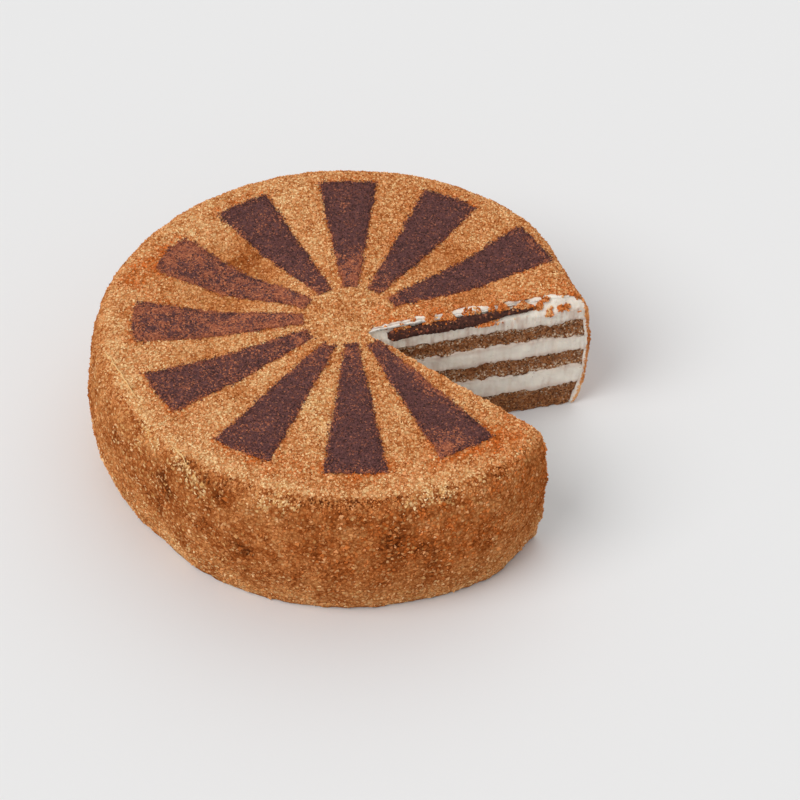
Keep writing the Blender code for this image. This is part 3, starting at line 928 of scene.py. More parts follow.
def strew(name, ground, count, half_width, spread_of_sizes, sink, seed, material, slot):
    """Strews crumbs of one kind over a ground mesh and makes them one plain piece."""
    area = surface_area(ground)
    carrier = add_object(name, ground.copy())
    modifier = carrier.modifiers.new("strewn", "NODES")
    modifier.node_group = bpy.data.node_groups["strewn_crumbs"]
    values = {
        "Shapes": bpy.data.collections["crumb_shapes"],
        "Crumbs per area": CRUMB_TRIES * count / area,
        "Spacing": CRUMB_SPACING / math.sqrt(count / area),
        "Smallest": half_width * spread_of_sizes[0],
        "Largest": half_width * spread_of_sizes[1],
        "Sink": sink,
        "Seed": seed,
        "Finish": material,
    }
    for item in modifier.node_group.interface.items_tree:
        if item.in_out == "INPUT" and item.name in values:
            modifier[item.identifier] = values[item.name]
    plain_mesh(carrier, name)
    places = read_places(carrier.data)
    places[:, 2] = np.maximum(places[:, 2], LOWEST_POINT)
    carrier.data.vertices.foreach_set("co", places.ravel())
    triangles = sum(len(face.vertices) - 2 for face in carrier.data.polygons)
    print(name, "triangles", triangles)
    if triangles > MOST_TRIANGLES:
        raise RuntimeError("%s has %d triangles" % (name, triangles))
    finish_piece(carrier, material, slot, smooth=False)


# The coat

def ray_place(points):
    """For places on the top: the nearest ray's number, turn off its axis and radius from the centre."""
    dx = points[..., 0] - RAY_CENTRE[0]
    dy = points[..., 1] - RAY_CENTRE[1]
    radius = np.hypot(dx, dy)
    steps = (RAY_FIRST_ANGLE - np.arctan2(dy, dx)) / RAY_STEP
    nearest = np.round(steps)
    number = nearest.astype(int) % RAY_PLACES
    return number, (steps - nearest) * RAY_STEP - RAY_TURNS[number], radius


def ray_half_angle(share):
    """Half the angle that a ray takes up, by share of its length."""
    return RAY_HALF_ANGLES[0] + (RAY_HALF_ANGLES[1] - RAY_HALF_ANGLES[0]) * share


def ray_cover(points):
    """1 inside a ray, 0 outside it."""
    number, turn, radius = ray_place(points)
    ends = np.array([RAY_ENDS.get(n, RAY_REACH) for n in range(RAY_PLACES)])[number]
    inner, outer = ends[..., 0], ends[..., 1]
    half = ray_half_angle(rise(radius, inner, outer - inner))
    rubbed = np.array([RAY_RUBBED.get(n, 0.0) for n in range(RAY_PLACES)])[number]
    outer = outer - rubbed * np.clip(np.abs(turn) / half, 0.0, 1.0) ** 6
    inside = (np.abs(turn) * radius < half * radius) & (radius > inner) & (radius < outer)
    inside &= ~np.isin(number, RAYS_IN_NOTCH) & (points[..., 2] > SHOULDER_HEIGHT)
    return inside.astype(float)


def near(points, angle, radius, height, width):
    """A soft spot, 1 in its middle, which is given by angle in degrees, radius and height."""
    turn = math.radians(angle)
    centre = np.array((radius * math.cos(turn), radius * math.sin(turn), height))
    return np.exp(-np.sum((points - centre) ** 2, axis=-1) / width ** 2)


def marks(points, spots):
    """Soft spots added up, each given by angle, radius, height, width and strength."""
    return sum(strength * near(points, *spot) for *spot, strength in spots)


def on_top(points):
    """1 on the top, 0 on the side, turning over on the shoulder."""
    return rise(points[..., 2], 0.0515, 0.0030)


def beside_cut(points):
    """How far places lie behind the far cut, and how far along it."""
    run, back = wall_frame(FAR_WALL_ANGLE)
    flat = points[..., :2] - NOTCH_TIP
    return flat @ back[:2], flat @ run[:2]


def coat_spread(points):
    """How much crumbs beside each other differ in tone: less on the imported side."""
    return 0.36 + 0.64 * on_top(points)


def coat_tone(points):
    """How pale or dark the crumb is by place, 0 to 1, before each crumb's own tint; with a painted highlight
    and shade at the front rim, painted bounce light at the foot and partly painted shade on the side.
    """
    x, y, height = points[..., 0], points[..., 1], points[..., 2]
    radius = np.hypot(x, y)
    behind, along = beside_cut(points)
    centre = 0.03 * bell(radius, 0.0, 0.022)
    left = 0.10 * rise(-x, -0.005, 0.05) - 0.09 * near(points, *DARK_SPOT)
    # Painted highlight along the front rim, and painted shade on the side just below it
    rim = 0.11 * bell(radius, 0.0885, 0.0025) * (1.0 - 0.7 * rise(x, 0.032, 0.018))
    rim = (rim - 0.32 * rise(radius, 0.0908, 0.0012)) * rise(-y, 0.0, 0.05)
    cut = 0.08 * bell(np.maximum(behind, 0.006), 0.006, 0.008) * (behind > -0.001) * (along > 0.0)
    top = 0.105 + centre + left + rim + cut

    ends = 0.06 * rise(np.abs(x + 0.01), 0.04, 0.04)
    # Lighter at the foot, painted bounce light off the floor; a little darker at mid height
    low = 0.18 * bell(height, 0.0, 0.014)
    middle = -0.06 * bell(height, 0.027, 0.011)
    # The side's tone is set below the top's: partly browner crumb, partly painted shade
    side = bumps(points, SIDE_PATCHES) - 0.16 + ends + low + middle

    toasted = 0.20 * sum(near(points, *spot) for spot in TOASTED_SPOTS)
    burnt = 0.60 * sum(near(points, *spot, BURNT_WIDTH) for spot in BURNT_CRUMBS)
    share = on_top(points)
    return 0.5 + bumps(points, CRUMB_PATCHES) + share * top + (1.0 - share) * side - toasted - burnt


def coat_damp(points):
    """How orange-red and damp the crumb is by place."""
    x, y = points[..., 0], points[..., 1]
    behind, along = beside_cut(points)
    turn, radius = ray_place(points)[1:]
    most = 0.55 + 5.0 * np.clip(along - 0.04, 0.0, 0.06)
    edge = bell(np.maximum(behind, 0.005), 0.005, 0.008) * rise(along, 0.0, 0.012, high=most)
    edge = 0.9 * edge * (behind > -0.001)
    off = (np.abs(turn) - RAY_HALF_ANGLES[1]) * radius
    fringe = 0.30 * bell(off, 0.0, 0.0022) * (radius > 0.02) * (radius < 0.084)
    ends = 0.35 * bell(radius, 0.083, 0.0025) * (np.abs(turn) < RAY_HALF_ANGLES[1])
    rim = 0.40 * bell(x, 0.015, 0.070) * (y < 0.0) * bell(np.hypot(x, y), 0.0790, 0.0065)
    top = 0.13 + edge + 0.8 * marks(points, DAMP_SPOTS) + fringe + ends + rim

    facing = bell(x, 0.042, 0.055) * (y < 0.0)
    side = (0.08 + 0.42 * facing) * rise(points[..., 2], 0.010, 0.02, low=0.05)
    share = on_top(points)
    blotch = 0.8 + 0.7 * ripple(points, 0.006, 4.0)
    return np.clip((top * share + side * (1.0 - share)) * blotch, 0.0, 0.9)


def coat_cream_and_painted_light(points):
    """Where thin pale cream shows through the crumb: along the left and front shoulder, partly as a painted
    highlight, and painted light that makes the foot and the left side paler.
    """
    angle, radius = polar(points)
    x, height = points[..., 0], points[..., 2]
    # Pale band along the front and left-front shoulder: partly pale cream, partly painted highlight
    round_front = bell(angle, -95.0, 32.0) + 0.4 * bell(angle, -150.0, 22.0)
    blobs = np.clip(0.25 + 1.6 * ripple(points, 0.008, 9.0), 0.0, 1.0)
    bands = 0.35 * round_front * bell(radius, 0.0935, 0.0030) * blobs
    beside = 0.5 * bell(fold_distance(points), 0.0, 0.0011)
    broken = np.clip(0.55 + 1.6 * ripple(points, 0.0032, 3.0), 0.0, 1.2)
    blotches = 0.70 * broken * sum(near(points, *blotch) for blotch in PALE_BLOTCHES)
    # Pale crumb over the side: a little everywhere, more at the foot as painted bounce light off the floor
    # and more on the left side as painted light
    pale_dust_and_painted_light = 0.04 + 0.14 * bell(height, 0.0, 0.014) + 0.09 * rise(-x, 0.02, 0.05)
    total = (bands + beside) * (height > FOLD_LOW) + marks(points, CREAM_SMUDGES) + blotches
    return np.clip(total + pale_dust_and_painted_light * (1.0 - on_top(points)), 0.0, 0.9)


def fold_distance(points):
    """How far places lie from the folds of the shoulder and the pale lines beyond them."""
    angle, radius = polar(points)
    nearest = np.ones_like(angle)
    for fold in PALE_LINES:
        angles, radii = zip(*fold)
        within = (angle > angles[0]) & (angle < angles[-1]) & (points[..., 2] > FOLD_LOW)
        away = np.abs(radius - np.interp(angle, angles, radii))
        nearest = np.where(within, np.minimum(nearest, away), nearest)
    return nearest


COAT_RULES = {
    "tone": coat_tone,
    "spread": coat_spread,
    "damp": coat_damp,
    "creamy": coat_cream_and_painted_light,
}


def coat_points(columns, rows, inset):
    """The coat's face as a grid of columns round the cake by rows up and over it."""
    radius, height = coat_profile(inset, COAT_FOOT, *rows).T
    share = np.linspace(0.0, 1.0, columns)
    angle = FAR_END_ANGLE + SWEEP * share
    along = radius / CAKE_RADIUS * FAR_LENGTH
    on_slope = rise(height, TEAR_LOW, CAKE_HEIGHT - TEAR_LOW - inset)
    bare = sum(depth * bell(along, middle, width) for middle, width, depth in BARE_EDGES)
    ragged = bumps(joined(along, height, 0.2), COAT_EDGE_BUMPS) * (1.0 - np.clip(bare / 0.0018, 0.0, 0.7))
    far_shift = (tear_depth(along) + ragged + bare) * on_slope + 0.0003
    near_shift = 0.0005 + 0.0007 * ripple(joined(along, height, 0.4), 0.003)
    reach = np.minimum(0.025, 1.5 * radius + 1e-6)
    radius, height = radius[:, None], height[:, None]
    shifted = np.repeat(angle[None, :], len(radius), axis=0)
    for shift, ends, sign in ((far_shift, share, 1.0), (near_shift, 1.0 - share, -1.0)):
        distance = radius * SWEEP * ends
        pushed = np.minimum(shift, 0.5 * reach)[:, None] * np.clip(1.0 - distance / reach[:, None], 0.0, 1.0)
        shifted = shifted + sign * pushed / np.maximum(radius, 1e-6)
    return spread(radius, shifted, height)


def roughen_coat(points):
    """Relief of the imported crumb: lumps on the side, finer grain on the top."""
    settled = settle(points)
    radius = np.hypot(points[..., 0], points[..., 1])
    side = rise(radius, 0.086, 0.008)
    lumps = np.maximum(bumps(settled, SIDE_LUMPS), -0.0004)
    out = points[..., :2] / np.maximum(radius, TINY)[..., None]
    settled[..., :2] += out * (side * lumps)[..., None]
    settled[..., 2] += (1.0 - side) * bumps(settled, TOP_GRAIN)
    return settled


class CAKE_OT_coat(bpy.types.Operator):
    """Make the ground of the crumb coat"""

    bl_idname = "cake.coat"
    bl_label = "Crumb Coat"

    def execute(self, context):
        inset = sizes().base_inset
        points = roughen_coat(coat_points(COAT_COLUMNS, COAT_ROWS, inset))
        rules = {key: rule(points) for key, rule in COAT_RULES.items()}
        rules["cover"] = 1.0 - ray_cover(points)
        ground = mesh_from("coat_ground", points, grid_faces(*points.shape[:2]), rules)
        clean(ground)
        if sum(face.normal.z * face.area for face in ground.polygons) < 0.0:
            ground.flip_normals()
        coat = add_object("crumb_coat_ground", ground.copy())
        shell = coat.modifiers.new("thickness", "SOLIDIFY")
        shell.thickness = COAT_THICKNESS + 0.0004 - inset
        shell.offset = -1.0
        plain_mesh(coat, "crumb_coat_ground")
        finish_piece(coat, crumb_ground_finish(), "crumb", "crumb_coat")
        return {"FINISHED"}


class CAKE_OT_crumbs(bpy.types.Operator):
    """Strew the golden and toasted crumbs over the coat"""

    bl_idname = "cake.crumbs"
    bl_label = "Crumbs"

    def execute(self, context):
        size = sizes()
        gold = crumb_finish()
        ground = bpy.data.meshes["coat_ground"]
        cover = read_attribute(ground, "cover")
        height = read_places(ground)[:, 2]
        high = rise(height, 0.0505, 0.002)
        foot = rise(height, 0.0008, 0.0006)
        toasted = np.clip(1.12 - high, 0.0, 1.0) * cover * foot
        kinds = (
            # name, cover, count, half width, span of sizes, how deep the crumbs sink in
            ("crumbs_top", cover * high, size.top_count, size.top_crumb, (0.65, 1.25), 0.00010),
            ("crumbs_side", (1.0 - high) * foot, size.side_count, size.side_crumb, (0.6, 1.3), 0.00034),
            ("crumbs_toasted", toasted, size.toast_count, size.side_crumb * TOAST_SIZE, (0.7, 1.35), 0.00048),
        )
        for index, (name, share, *rest) in enumerate(kinds):
            set_attribute(ground, "cover", share)
            strew(name, ground, *rest, size.seed + index, gold, "crumb")
        set_attribute(ground, "cover", cover)
        rim = cut_faces("cut_coat", bpy.data.objects["crumb_coat_ground"])
        strew("crumbs_rim", rim, size.rim_count, size.top_crumb, (0.6, 1.3), 0.00005,
              size.seed + RIM_SEED, gold, "crumb")
        return {"FINISHED"}


# Cocoa rays

def top_height(x, y):
    """Height of the coat's face at places on the top."""
    radius = np.hypot(x, y)
    dent = swell(np.arctan2(y, x), DENTS) * (radius / CAKE_RADIUS) ** DENT_POWER
    ideal = rise(radius + dent, RIM_RADIUS, SHOULDER_RADIUS - RIM_RADIUS, high=0.98)
    turn = np.arccos(ideal ** (1.0 / SHOULDER_FULLNESS))
    drop = (CAKE_HEIGHT - SHOULDER_HEIGHT) * (1.0 - np.sin(turn) ** SHOULDER_FULLNESS)
    return settle(joined(x, y, CAKE_HEIGHT))[..., 2] - drop


def ray_spot(number, a, across, margin):
    """A place in a ray: share a along it and across from -1 to 1, with a margin all round."""
    inner, outer = RAY_ENDS.get(number, RAY_REACH)
    axis = RAY_FIRST_ANGLE - number * RAY_STEP - RAY_TURNS[number]
    ragged = bumps(joined(a * 0.064, across * 0.01, number * 0.1), RAY_EDGE_BUMPS)
    radius = inner - margin + (outer - inner + 2.0 * margin) * a
    radius = radius + ragged * np.abs(2.0 * a - 1.0) ** 6
    radius = radius - RAY_RUBBED.get(number, 0.0) * np.abs(across) ** 6 * a ** 16
    off = (ray_half_angle(a) * radius + margin) * across + ragged * np.abs(across) ** 3 * np.sign(across)
    angle = axis + off / radius
    x = RAY_CENTRE[0] + radius * np.cos(angle)
    y = RAY_CENTRE[1] + radius * np.sin(angle)
    return joined(x, y, top_height(x, y))


def ray_point(number):
    """The body of one ray: along it, across it and through its thickness."""

    def point(a, b, c):
        across = 2.0 * b - 1.0
        place = ray_spot(number, a, across, 0.0)
        rim = np.minimum(1.0 - np.abs(across) ** 8, 1.0 - np.abs(2.0 * a - 1.0) ** 20)
        top = -0.00055 + 0.00035 * rim + 0.00012 * ripple(place, 0.0012)
        place[..., 2] += np.where(c > 0.5, top, -0.0012)
        return place

    return point


def ray_dusting(number):
    """The ground that the cocoa of one ray is strewn on, thinning out just past its edge."""
    lengthwise = np.linspace(0.0, 1.0, DUSTING_GRID[0])
    a, across = np.meshgrid(lengthwise, np.linspace(-1.0, 1.0, DUSTING_GRID[1]), indexing="ij")
    place = ray_spot(number, a, across, DUSTING_MARGIN)
    radius = np.hypot(place[..., 0] - RAY_CENTRE[0], place[..., 1] - RAY_CENTRE[1])
    inner, outer = RAY_ENDS.get(number, RAY_REACH)
    to_side = (1.0 - np.abs(across)) * (RAY_HALF_ANGLES[1] * radius + DUSTING_MARGIN)
    to_end = np.minimum(a, 1.0 - a) * (outer - inner + 2.0 * DUSTING_MARGIN)
    share = np.clip(np.minimum(to_side, to_end) / (1.25 * DUSTING_MARGIN), 0.0, 1.0)
    place[..., 2] += -0.0005 + 0.00035 * share
    return place, share


def ray_rust(points):
    """Where golden and red crumbs show through the cocoa: inner ends, edges and a few patches."""
    number, turn, radius = ray_place(points)
    across = turn * radius
    edge = rise(np.abs(across), RAY_HALF_ANGLES[1] * radius - 0.0014, 0.0018)
    inner = bell(radius, 0.016, 0.014)
    outer = bell(radius, 0.083, 0.003)
    patch = np.clip(1.5 * ripple(points, 0.010, 12.0) - 0.2, 0.0, 1.0)
    total = 0.45 * edge + 0.42 * inner + 0.35 * outer + 0.26 * patch + np.array(RAY_RUST)[number]
    total = total + 0.80 * (number == WORN_INNER_RAY) * bell(radius, 0.026, 0.012)
    beside = rise(-turn, 0.0, RAY_HALF_ANGLES[1]) * bell(radius, 0.045, 0.018)
    total = total + 0.9 * (number == WORN_SIDE_RAY) * beside
    total = total + 0.5 * (number == RUST_SPOT_RAY) * near(points, *RUST_SPOT)
    for ray, middle, off, width, strength in RUST_PATCHES:
        away = np.hypot(radius - middle, across - off)
        total = total + strength * (number == ray) * bell(away, 0.0, width)
    return np.clip(total * (0.75 + 0.9 * ripple(points, 0.0035, 5.0)), 0.0, 0.9)


class CAKE_OT_rays(bpy.types.Operator):
    """Lay the cocoa rays on the coat and strew fine cocoa over them"""

    bl_idname = "cake.rays"
    bl_label = "Cocoa Rays"

    def execute(self, context):
        ground_finish = cocoa_finish("cocoa_ground", False)
        numbers = [number for number in range(RAY_PLACES) if number not in RAYS_IN_NOTCH]
        points, shares, faces = [], [], []
        for node, number in zip(RAY_NODES, numbers):
            ray = block(node + "_cocoa", ray_point(number), RAY_GRID, {"rust": ray_rust})
            finish_piece(ray, ground_finish, "cocoa", node)
            place, share = ray_dusting(number)
            faces.append(grid_faces(*share.shape, sum(part.size for part in shares))[:, ::-1])
            points.append(place.reshape(-1, 3))
            shares.append(share.ravel())
        points = np.concatenate(points)
        rules = {"rust": ray_rust(points), "cover": np.concatenate(shares)}
        ground = mesh_from("ray_dusting", points, np.concatenate(faces), rules)
        size = sizes()
        strew("crumbs_cocoa", ground, size.cocoa_count, size.cocoa_crumb, (0.6, 1.3), 0.00005,
              size.seed + COCOA_SEED, cocoa_finish("cocoa_crumb", True), "cocoa")
        return {"FINISHED"}


# Layers and cream

def wall_relief(kind, along, height, side):
    """How far a layer's face strays behind its wall: sponge is rough, cream is dragged smooth."""
    place = joined(along, height, side)
    fade = rise(along, 0.0, 0.004)
    wobble = 0.0005 * ripple(place, (0.016, 0.012, 1.0))
    if kind == "sponge":
        rough = 0.0007 * ripple(place, 0.0034, 2.0) + 0.0006 * np.abs(ripple(place, 0.0015, 4.0))
        return (wobble + SPONGE_PULL + rough) * fade
    drag = bumps(place, CREAM_DRAG)
    fine = 0.0002 * ripple(place, 0.0009, 9.0)
    return (wobble + drag + fine) * fade


def layer_point(kind, low, high, ends, torn=False):
    """The body of one layer: round the cake, out from the notch's tip, and up."""

    def point(a, b, c):
        height = low + (high - low) * (np.sin(0.5 * math.pi * c) if torn else c)
        radius = b * ends(height)
        angle = FAR_END_ANGLE + SWEEP * a
        place = spread(radius, angle, height)
        inner_edge = (c == 0.0) * (low > 0.0) + (c == 1.0) * (not torn)
        edge_shift = np.where(c == 0.0, ripple_edge(place, low), ripple_edge(place, high))
        place = settle(place)
        place[..., 2] += edge_shift * inner_edge
        for wall_angle, at_wall, length, side in (
            (FAR_WALL_ANGLE, a == 0.0, FAR_LENGTH, 0.1),
            (NEAR_WALL_ANGLE, a == 1.0, NEAR_LENGTH, 0.7),
        ):
            along = radius / CAKE_RADIUS * length
            behind = wall_relief(kind, along, height, side)
            if torn and wall_angle > 0.0:
                comb = joined(along, 0.2 * height, 0.3)
                behind = behind + 0.00035 * ripple(comb, 0.0010) * (height < TEAR_LOW)
                slope = rise(height, TEAR_LOW, CAKE_HEIGHT - TEAR_LOW)
                rough = 0.0004 * ripple(joined(along, height, height), 0.0022, 3.0)
                behind = behind + (tear_depth(along) + rough) * slope
            behind = np.minimum(behind, 0.6 * radius)
            back = wall_frame(wall_angle)[1]
            place = place + (behind * at_wall)[..., None] * back
        return place

    return point


def ripple_edge(place, level):
    """Unevenness of the border between two layers, the same for the layer above and below it."""
    flat = place * np.array((1.0, 1.0, 0.0)) + np.array((0.0, 0.0, level * 7.0))
    return bumps(flat, LAYER_EDGE_BUMPS)


def beside_borders(height, width):
    """1 at the borders between the layers, falling off above and below them."""
    return np.max([bell(height, level, width) for level in LAYER_LEVELS[1:]], axis=0)


def sponge_smear(points):
    """Cream dragged over the sponge by the knife, most beside the cream."""
    close = beside_borders(points[..., 2], 0.0022)
    return np.clip(0.15 + 0.75 * close + 0.4 * ripple(points, 0.007, 2.0), 0.0, 1.0)


def cream_stain(points):
    """Pinkish brown stain on the cream, most beside the sponge."""
    height = points[..., 2]
    close = beside_borders(height, 0.0012)
    streaks = np.clip(ripple(points, (0.0014, 0.0014, 0.009), 2.0), 0.0, 1.0)
    comb = np.clip(1.6 * ripple(points, (0.0013, 0.0013, 0.02), 4.0), 0.0, 1.0)
    comb = comb * (height > LAYER_LEVELS[-1]) * (height < TEAR_LOW + 0.0005)
    return np.clip(0.40 * close + 0.20 * ripple(points, 0.004, 3.0) + 0.3 * streaks + 0.65 * comb, 0.0, 0.68)


def cut_faces(name, *things):
    """The faces of objects that look into the notch, as one ground for crumbs."""
    cut = bmesh.new()
    for thing in things:
        cut.from_mesh(thing.data)
    cut.normal_update()
    tip = Vector((*NOTCH_TIP, 0.0))
    walls = [[Vector(axis) for axis in wall_frame(angle)] for angle in (FAR_WALL_ANGLE, NEAR_WALL_ANGLE)]

    def looks_away(face):
        place = face.calc_center_median() - tip
        for run, back in walls:
            at_wall = abs(place.dot(back)) < CUT_REACH and place.dot(run) > 0.0
            if at_wall and face.normal.dot(back) < CUT_FACING:
                return False
        return True

    bmesh.ops.delete(cut, geom=[face for face in cut.faces if looks_away(face)], context="FACES")
    ground = bpy.data.meshes.new(name)
    cut.to_mesh(ground)
    cut.free()
    set_attribute(ground, "cover", np.ones(len(ground.vertices)))
    return ground


class CAKE_OT_layers(bpy.types.Operator):
    """Build the sponge discs, the cream fillings and the cream frosting"""

    bl_idname = "cake.layers"
    bl_label = "Layers"

    def execute(self, context):
        sponge = sponge_finish()
        cream = cream_finish()
        inset = COAT_THICKNESS + SKIRT_THICKNESS
        for index, node in enumerate(LAYER_NODES):
            low, high = LAYER_LEVELS[index:index + 2]
            kind = "sponge" if node.startswith("sponge") else "cream"
            rule = {"smear": sponge_smear} if kind == "sponge" else {"stain": cream_stain}
            counts = (*LAYER_GRID, int((high - low) / LAYER_ROW) + 2)
            shape = layer_point(kind, low, high, lambda level: side_radius(level) - inset)
            layer = block(node + "_cut", shape, counts, rule)
            finish_piece(layer, sponge if kind == "sponge" else cream, kind, node)
        low, high = LAYER_LEVELS[-1], CAKE_HEIGHT - COAT_THICKNESS + 0.0002
        depth = COAT_THICKNESS + 0.0002
        slab = layer_point("cream", low, high, lambda level: shoulder_radius(level, depth), torn=True)
        frosting = block("frosting_top", slab, FROSTING_GRID, {"stain": cream_stain})
        finish_piece(frosting, cream, "cream", "frosting")

        def skirt_point(a, b, c):
            height = COAT_FOOT + (low - COAT_FOOT) * c
            radius = side_radius(height) - inset + (SKIRT_THICKNESS - 0.0002) * b
            return settle(spread(radius, FAR_END_ANGLE + SWEEP * a, height))

        skirt = block("frosting_side", skirt_point, SKIRT_GRID, {"stain": cream_stain})
        finish_piece(skirt, cream, "cream", "frosting")
        size = sizes()
        discs = [bpy.data.objects[node + "_cut"] for node in LAYER_NODES if node.startswith("sponge")]
        strew("crumbs_sponge", cut_faces("cut_sponge", *discs), size.sponge_count, size.sponge_crumb,
              (0.55, 1.35), 0.00015, size.seed + SPONGE_SEED, sponge_crumb_finish(), "sponge")
        return {"FINISHED"}


def ragged_line(along, coarse, fine):
    """An uneven edge along the wall, about -1 to 1 times the two depths."""
    place = joined(along, 0.037, 0.0)
    return coarse * ripple(place, 0.0032, 1.0) + fine * ripple(place, 0.0012, 6.0)


def strip_edges(along):
    """Lower and upper edge of the crumb on the torn slope, as shares of the slope."""
    share = rise(along, STRIP_RANGE[0], STRIP_RANGE[1] - STRIP_RANGE[0])
    upper = STRIP_UPPER_EDGE + ragged_line(along, 0.07, 0.06)
    for middle, width, gain in STRIP_SWELLS:
        upper = upper + gain * bell(along, middle, width)
    lower = 0.10 + 0.20 * share + ragged_line(along + 0.5, 0.05, 0.04)
    return lower, np.maximum(upper, lower + 0.05)


def sliver_edges(along):
    """Lower and upper edge of the cocoa on the torn slope, narrower outwards."""
    share = rise(along, SLIVER_RANGE[0], SLIVER_RANGE[1] - SLIVER_RANGE[0])
    turn = rise(share, 0.5, 0.38)
    foot = -0.06 + 0.30 * turn * turn * (3.0 - 2.0 * turn) - 0.10 * bell(along, 0.0105, 0.0030)
    middle = 0.5 * (SLIVER_UPPER_EDGE + foot)
    half = 0.5 * (SLIVER_UPPER_EDGE - foot)
    closing = np.sqrt(np.clip(1.0 - share ** 10, 0.0, 1.0)) * np.clip(0.5 + share * 14.0, 0.0, 1.0)
    lower = middle - half * closing + ragged_line(along + 0.9, 0.04, 0.05)
    return lower, middle + half * closing + ragged_line(along + 1.7, 0.04, 0.05)


def slope_slab(span, edges, top_share, lifts):
    """Body of a strip on the torn slope: along it, up it between its edges, and out from it."""

    def point(a, b, c):
        along = span[0] + (span[1] - span[0]) * a
        lower, upper = edges(along)
        share = lower + (np.minimum(upper, top_share) - lower) * b
        crown = (1.0 - np.abs(2.0 * b - 1.0) ** 4) * (1.0 - np.abs(2.0 * a - 1.0) ** 12)
        place = joined(along, b * 0.01, 0.0)
        relief = 0.00025 * ripple(place, 0.0017, 8.0)
        lift = lifts[0] + (lifts[1] + relief - lifts[0]) * c * (0.2 + 0.8 * crown)
        return tear_point(along, share, lift)

    return point


def torn_ground():
    """The torn slope as a ground for crumbs: close on the strip, thinner and in clusters beyond it."""
    outwards = np.linspace(0.002, 0.092, TORN_GRID[0])
    along, share = np.meshgrid(outwards, np.linspace(-0.1, 1.0, TORN_GRID[1]), indexing="ij")
    lower, upper = strip_edges(along)
    on_strip = rise(share, lower, 0.08) * rise(upper, share, 0.06)
    on_strip *= rise(along - STRIP_RANGE[0], 0.001, 0.002)
    on_strip *= rise(STRIP_RANGE[1], along, 0.006)
    clumps = np.clip(4.0 * ripple(joined(along, share * 0.008, 0.7), 0.0035) - 0.7, 0.0, 1.0)
    clumps = clumps * rise(along, 0.055, 0.01, 0.12, 0.8)
    sliver_low, sliver_high = sliver_edges(along)
    on_sliver = (share < sliver_high) & (along > SLIVER_RANGE[0] - 0.001) & (along < SLIVER_RANGE[1])
    below = 0.5 * bell(along, 0.047, 0.003) * (share < sliver_low)
    cover = np.clip(np.maximum(on_strip, clumps), 0.0, 1.0) * np.where(on_sliver, 0.02, 1.0) + below
    cover *= rise(0.0860, along, 0.0030)
    body = on_strip * rise(0.72, share, 0.08)
    points = tear_point(along, share, 0.0002 + 0.0008 * body)
    rules = {key: rule(points) for key, rule in TORN_RULES.items()}
    rules["cover"] = cover
    return mesh_from("torn_ground", points, grid_faces(*along.shape), rules)


TORN_RULES = {
    "tone": lambda points: 0.38 + 0.15 * ripple(points, 0.004, 5.0),
    "spread": lambda points: np.ones(points.shape[:-1]),
    "damp": lambda points: np.clip(0.55 + 0.3 * ripple(points, 0.005, 1.0), 0.0, 0.85),
    "creamy": lambda points: np.clip(1.2 * ripple(points, 0.004, 2.0) - 0.1, 0.0, 0.6),
}


def sliver_rust(points):
    return np.clip(0.6 * ripple(points, 0.003, 1.0) - 0.1, 0.0, 0.4)


class CAKE_OT_torn_edge(bpy.types.Operator):
    """Build the torn strip of crumb with its sliver of cocoa"""

    bl_idname = "cake.torn_edge"
    bl_label = "Torn Edge"

    def execute(self, context):
        strip_shape = slope_slab(STRIP_RANGE, strip_edges, 0.68, (-0.0004, 0.0008))
        strip = block("torn_strip_ground", strip_shape, STRIP_GRID, TORN_RULES)
        finish_piece(strip, bpy.data.materials["crumb_ground"], "torn_crumb", "torn_crumb_strip")
        sliver_shape = slope_slab(SLIVER_RANGE, sliver_edges, 1.0, (0.0002, 0.0014))
        sliver = block("cocoa_sliver_ground", sliver_shape, SLIVER_GRID, {"rust": sliver_rust})
        # The sliver's cocoa is darkened by painted shade
        damp = cocoa_finish("cocoa_painted_shade", False, SLIVER_PAINTED_SHADE)
        finish_piece(sliver, damp, "cocoa", "cocoa_sliver")
        size = sizes()
        strew("crumbs_torn", torn_ground(), size.torn_count, size.top_crumb, (0.6, 1.3), 0.0001,
              size.seed + TORN_SEED, bpy.data.materials["golden_crumb"], "torn_crumb")
        return {"FINISHED"}


def fold_point(fold):
    """Body of one raised fold: along it, across it and up."""
    angles, radii = (np.array(column) for column in zip(*fold))

    def point(a, b, c):
        degrees = angles[0] + (angles[-1] - angles[0]) * a
        place = joined(a * 0.04, 0.02, angles[0])
        width = 0.00010 * (0.5 + np.sin(math.pi * a)) * (1.0 + 0.6 * ripple(place, 0.002))
        radius = np.interp(degrees, angles, radii) + 0.0005 * ripple(place, 0.004)
        radius = radius + (2.0 * b - 1.0) * width
        angle = np.radians(degrees)
        x, y = radius * np.cos(angle), radius * np.sin(angle)
        thick = 0.0006 + 0.0004 * np.sin(math.pi * a) + 0.0003 * ripple(place, 0.003, 5.0)
        return joined(x, y, top_height(x, y) - 0.0011 + c * thick)

    return point


class CAKE_OT_folds(bpy.types.Operator):
    """Raise the pale folds of the coat along the shoulder"""

    bl_idname = "cake.folds"
    bl_label = "Shoulder Folds"

    def execute(self, context):
        finish = Finish("pale_fold", 0.8)
        finish.shader.inputs["Base Color"].default_value = FOLD_COLOUR
        for index, fold in enumerate(FOLDS):
            piece = block("shoulder_fold_%d" % (index + 1), fold_point(fold), FOLD_GRID)
            finish_piece(piece, finish.material, "crumb")
        return {"FINISHED"}


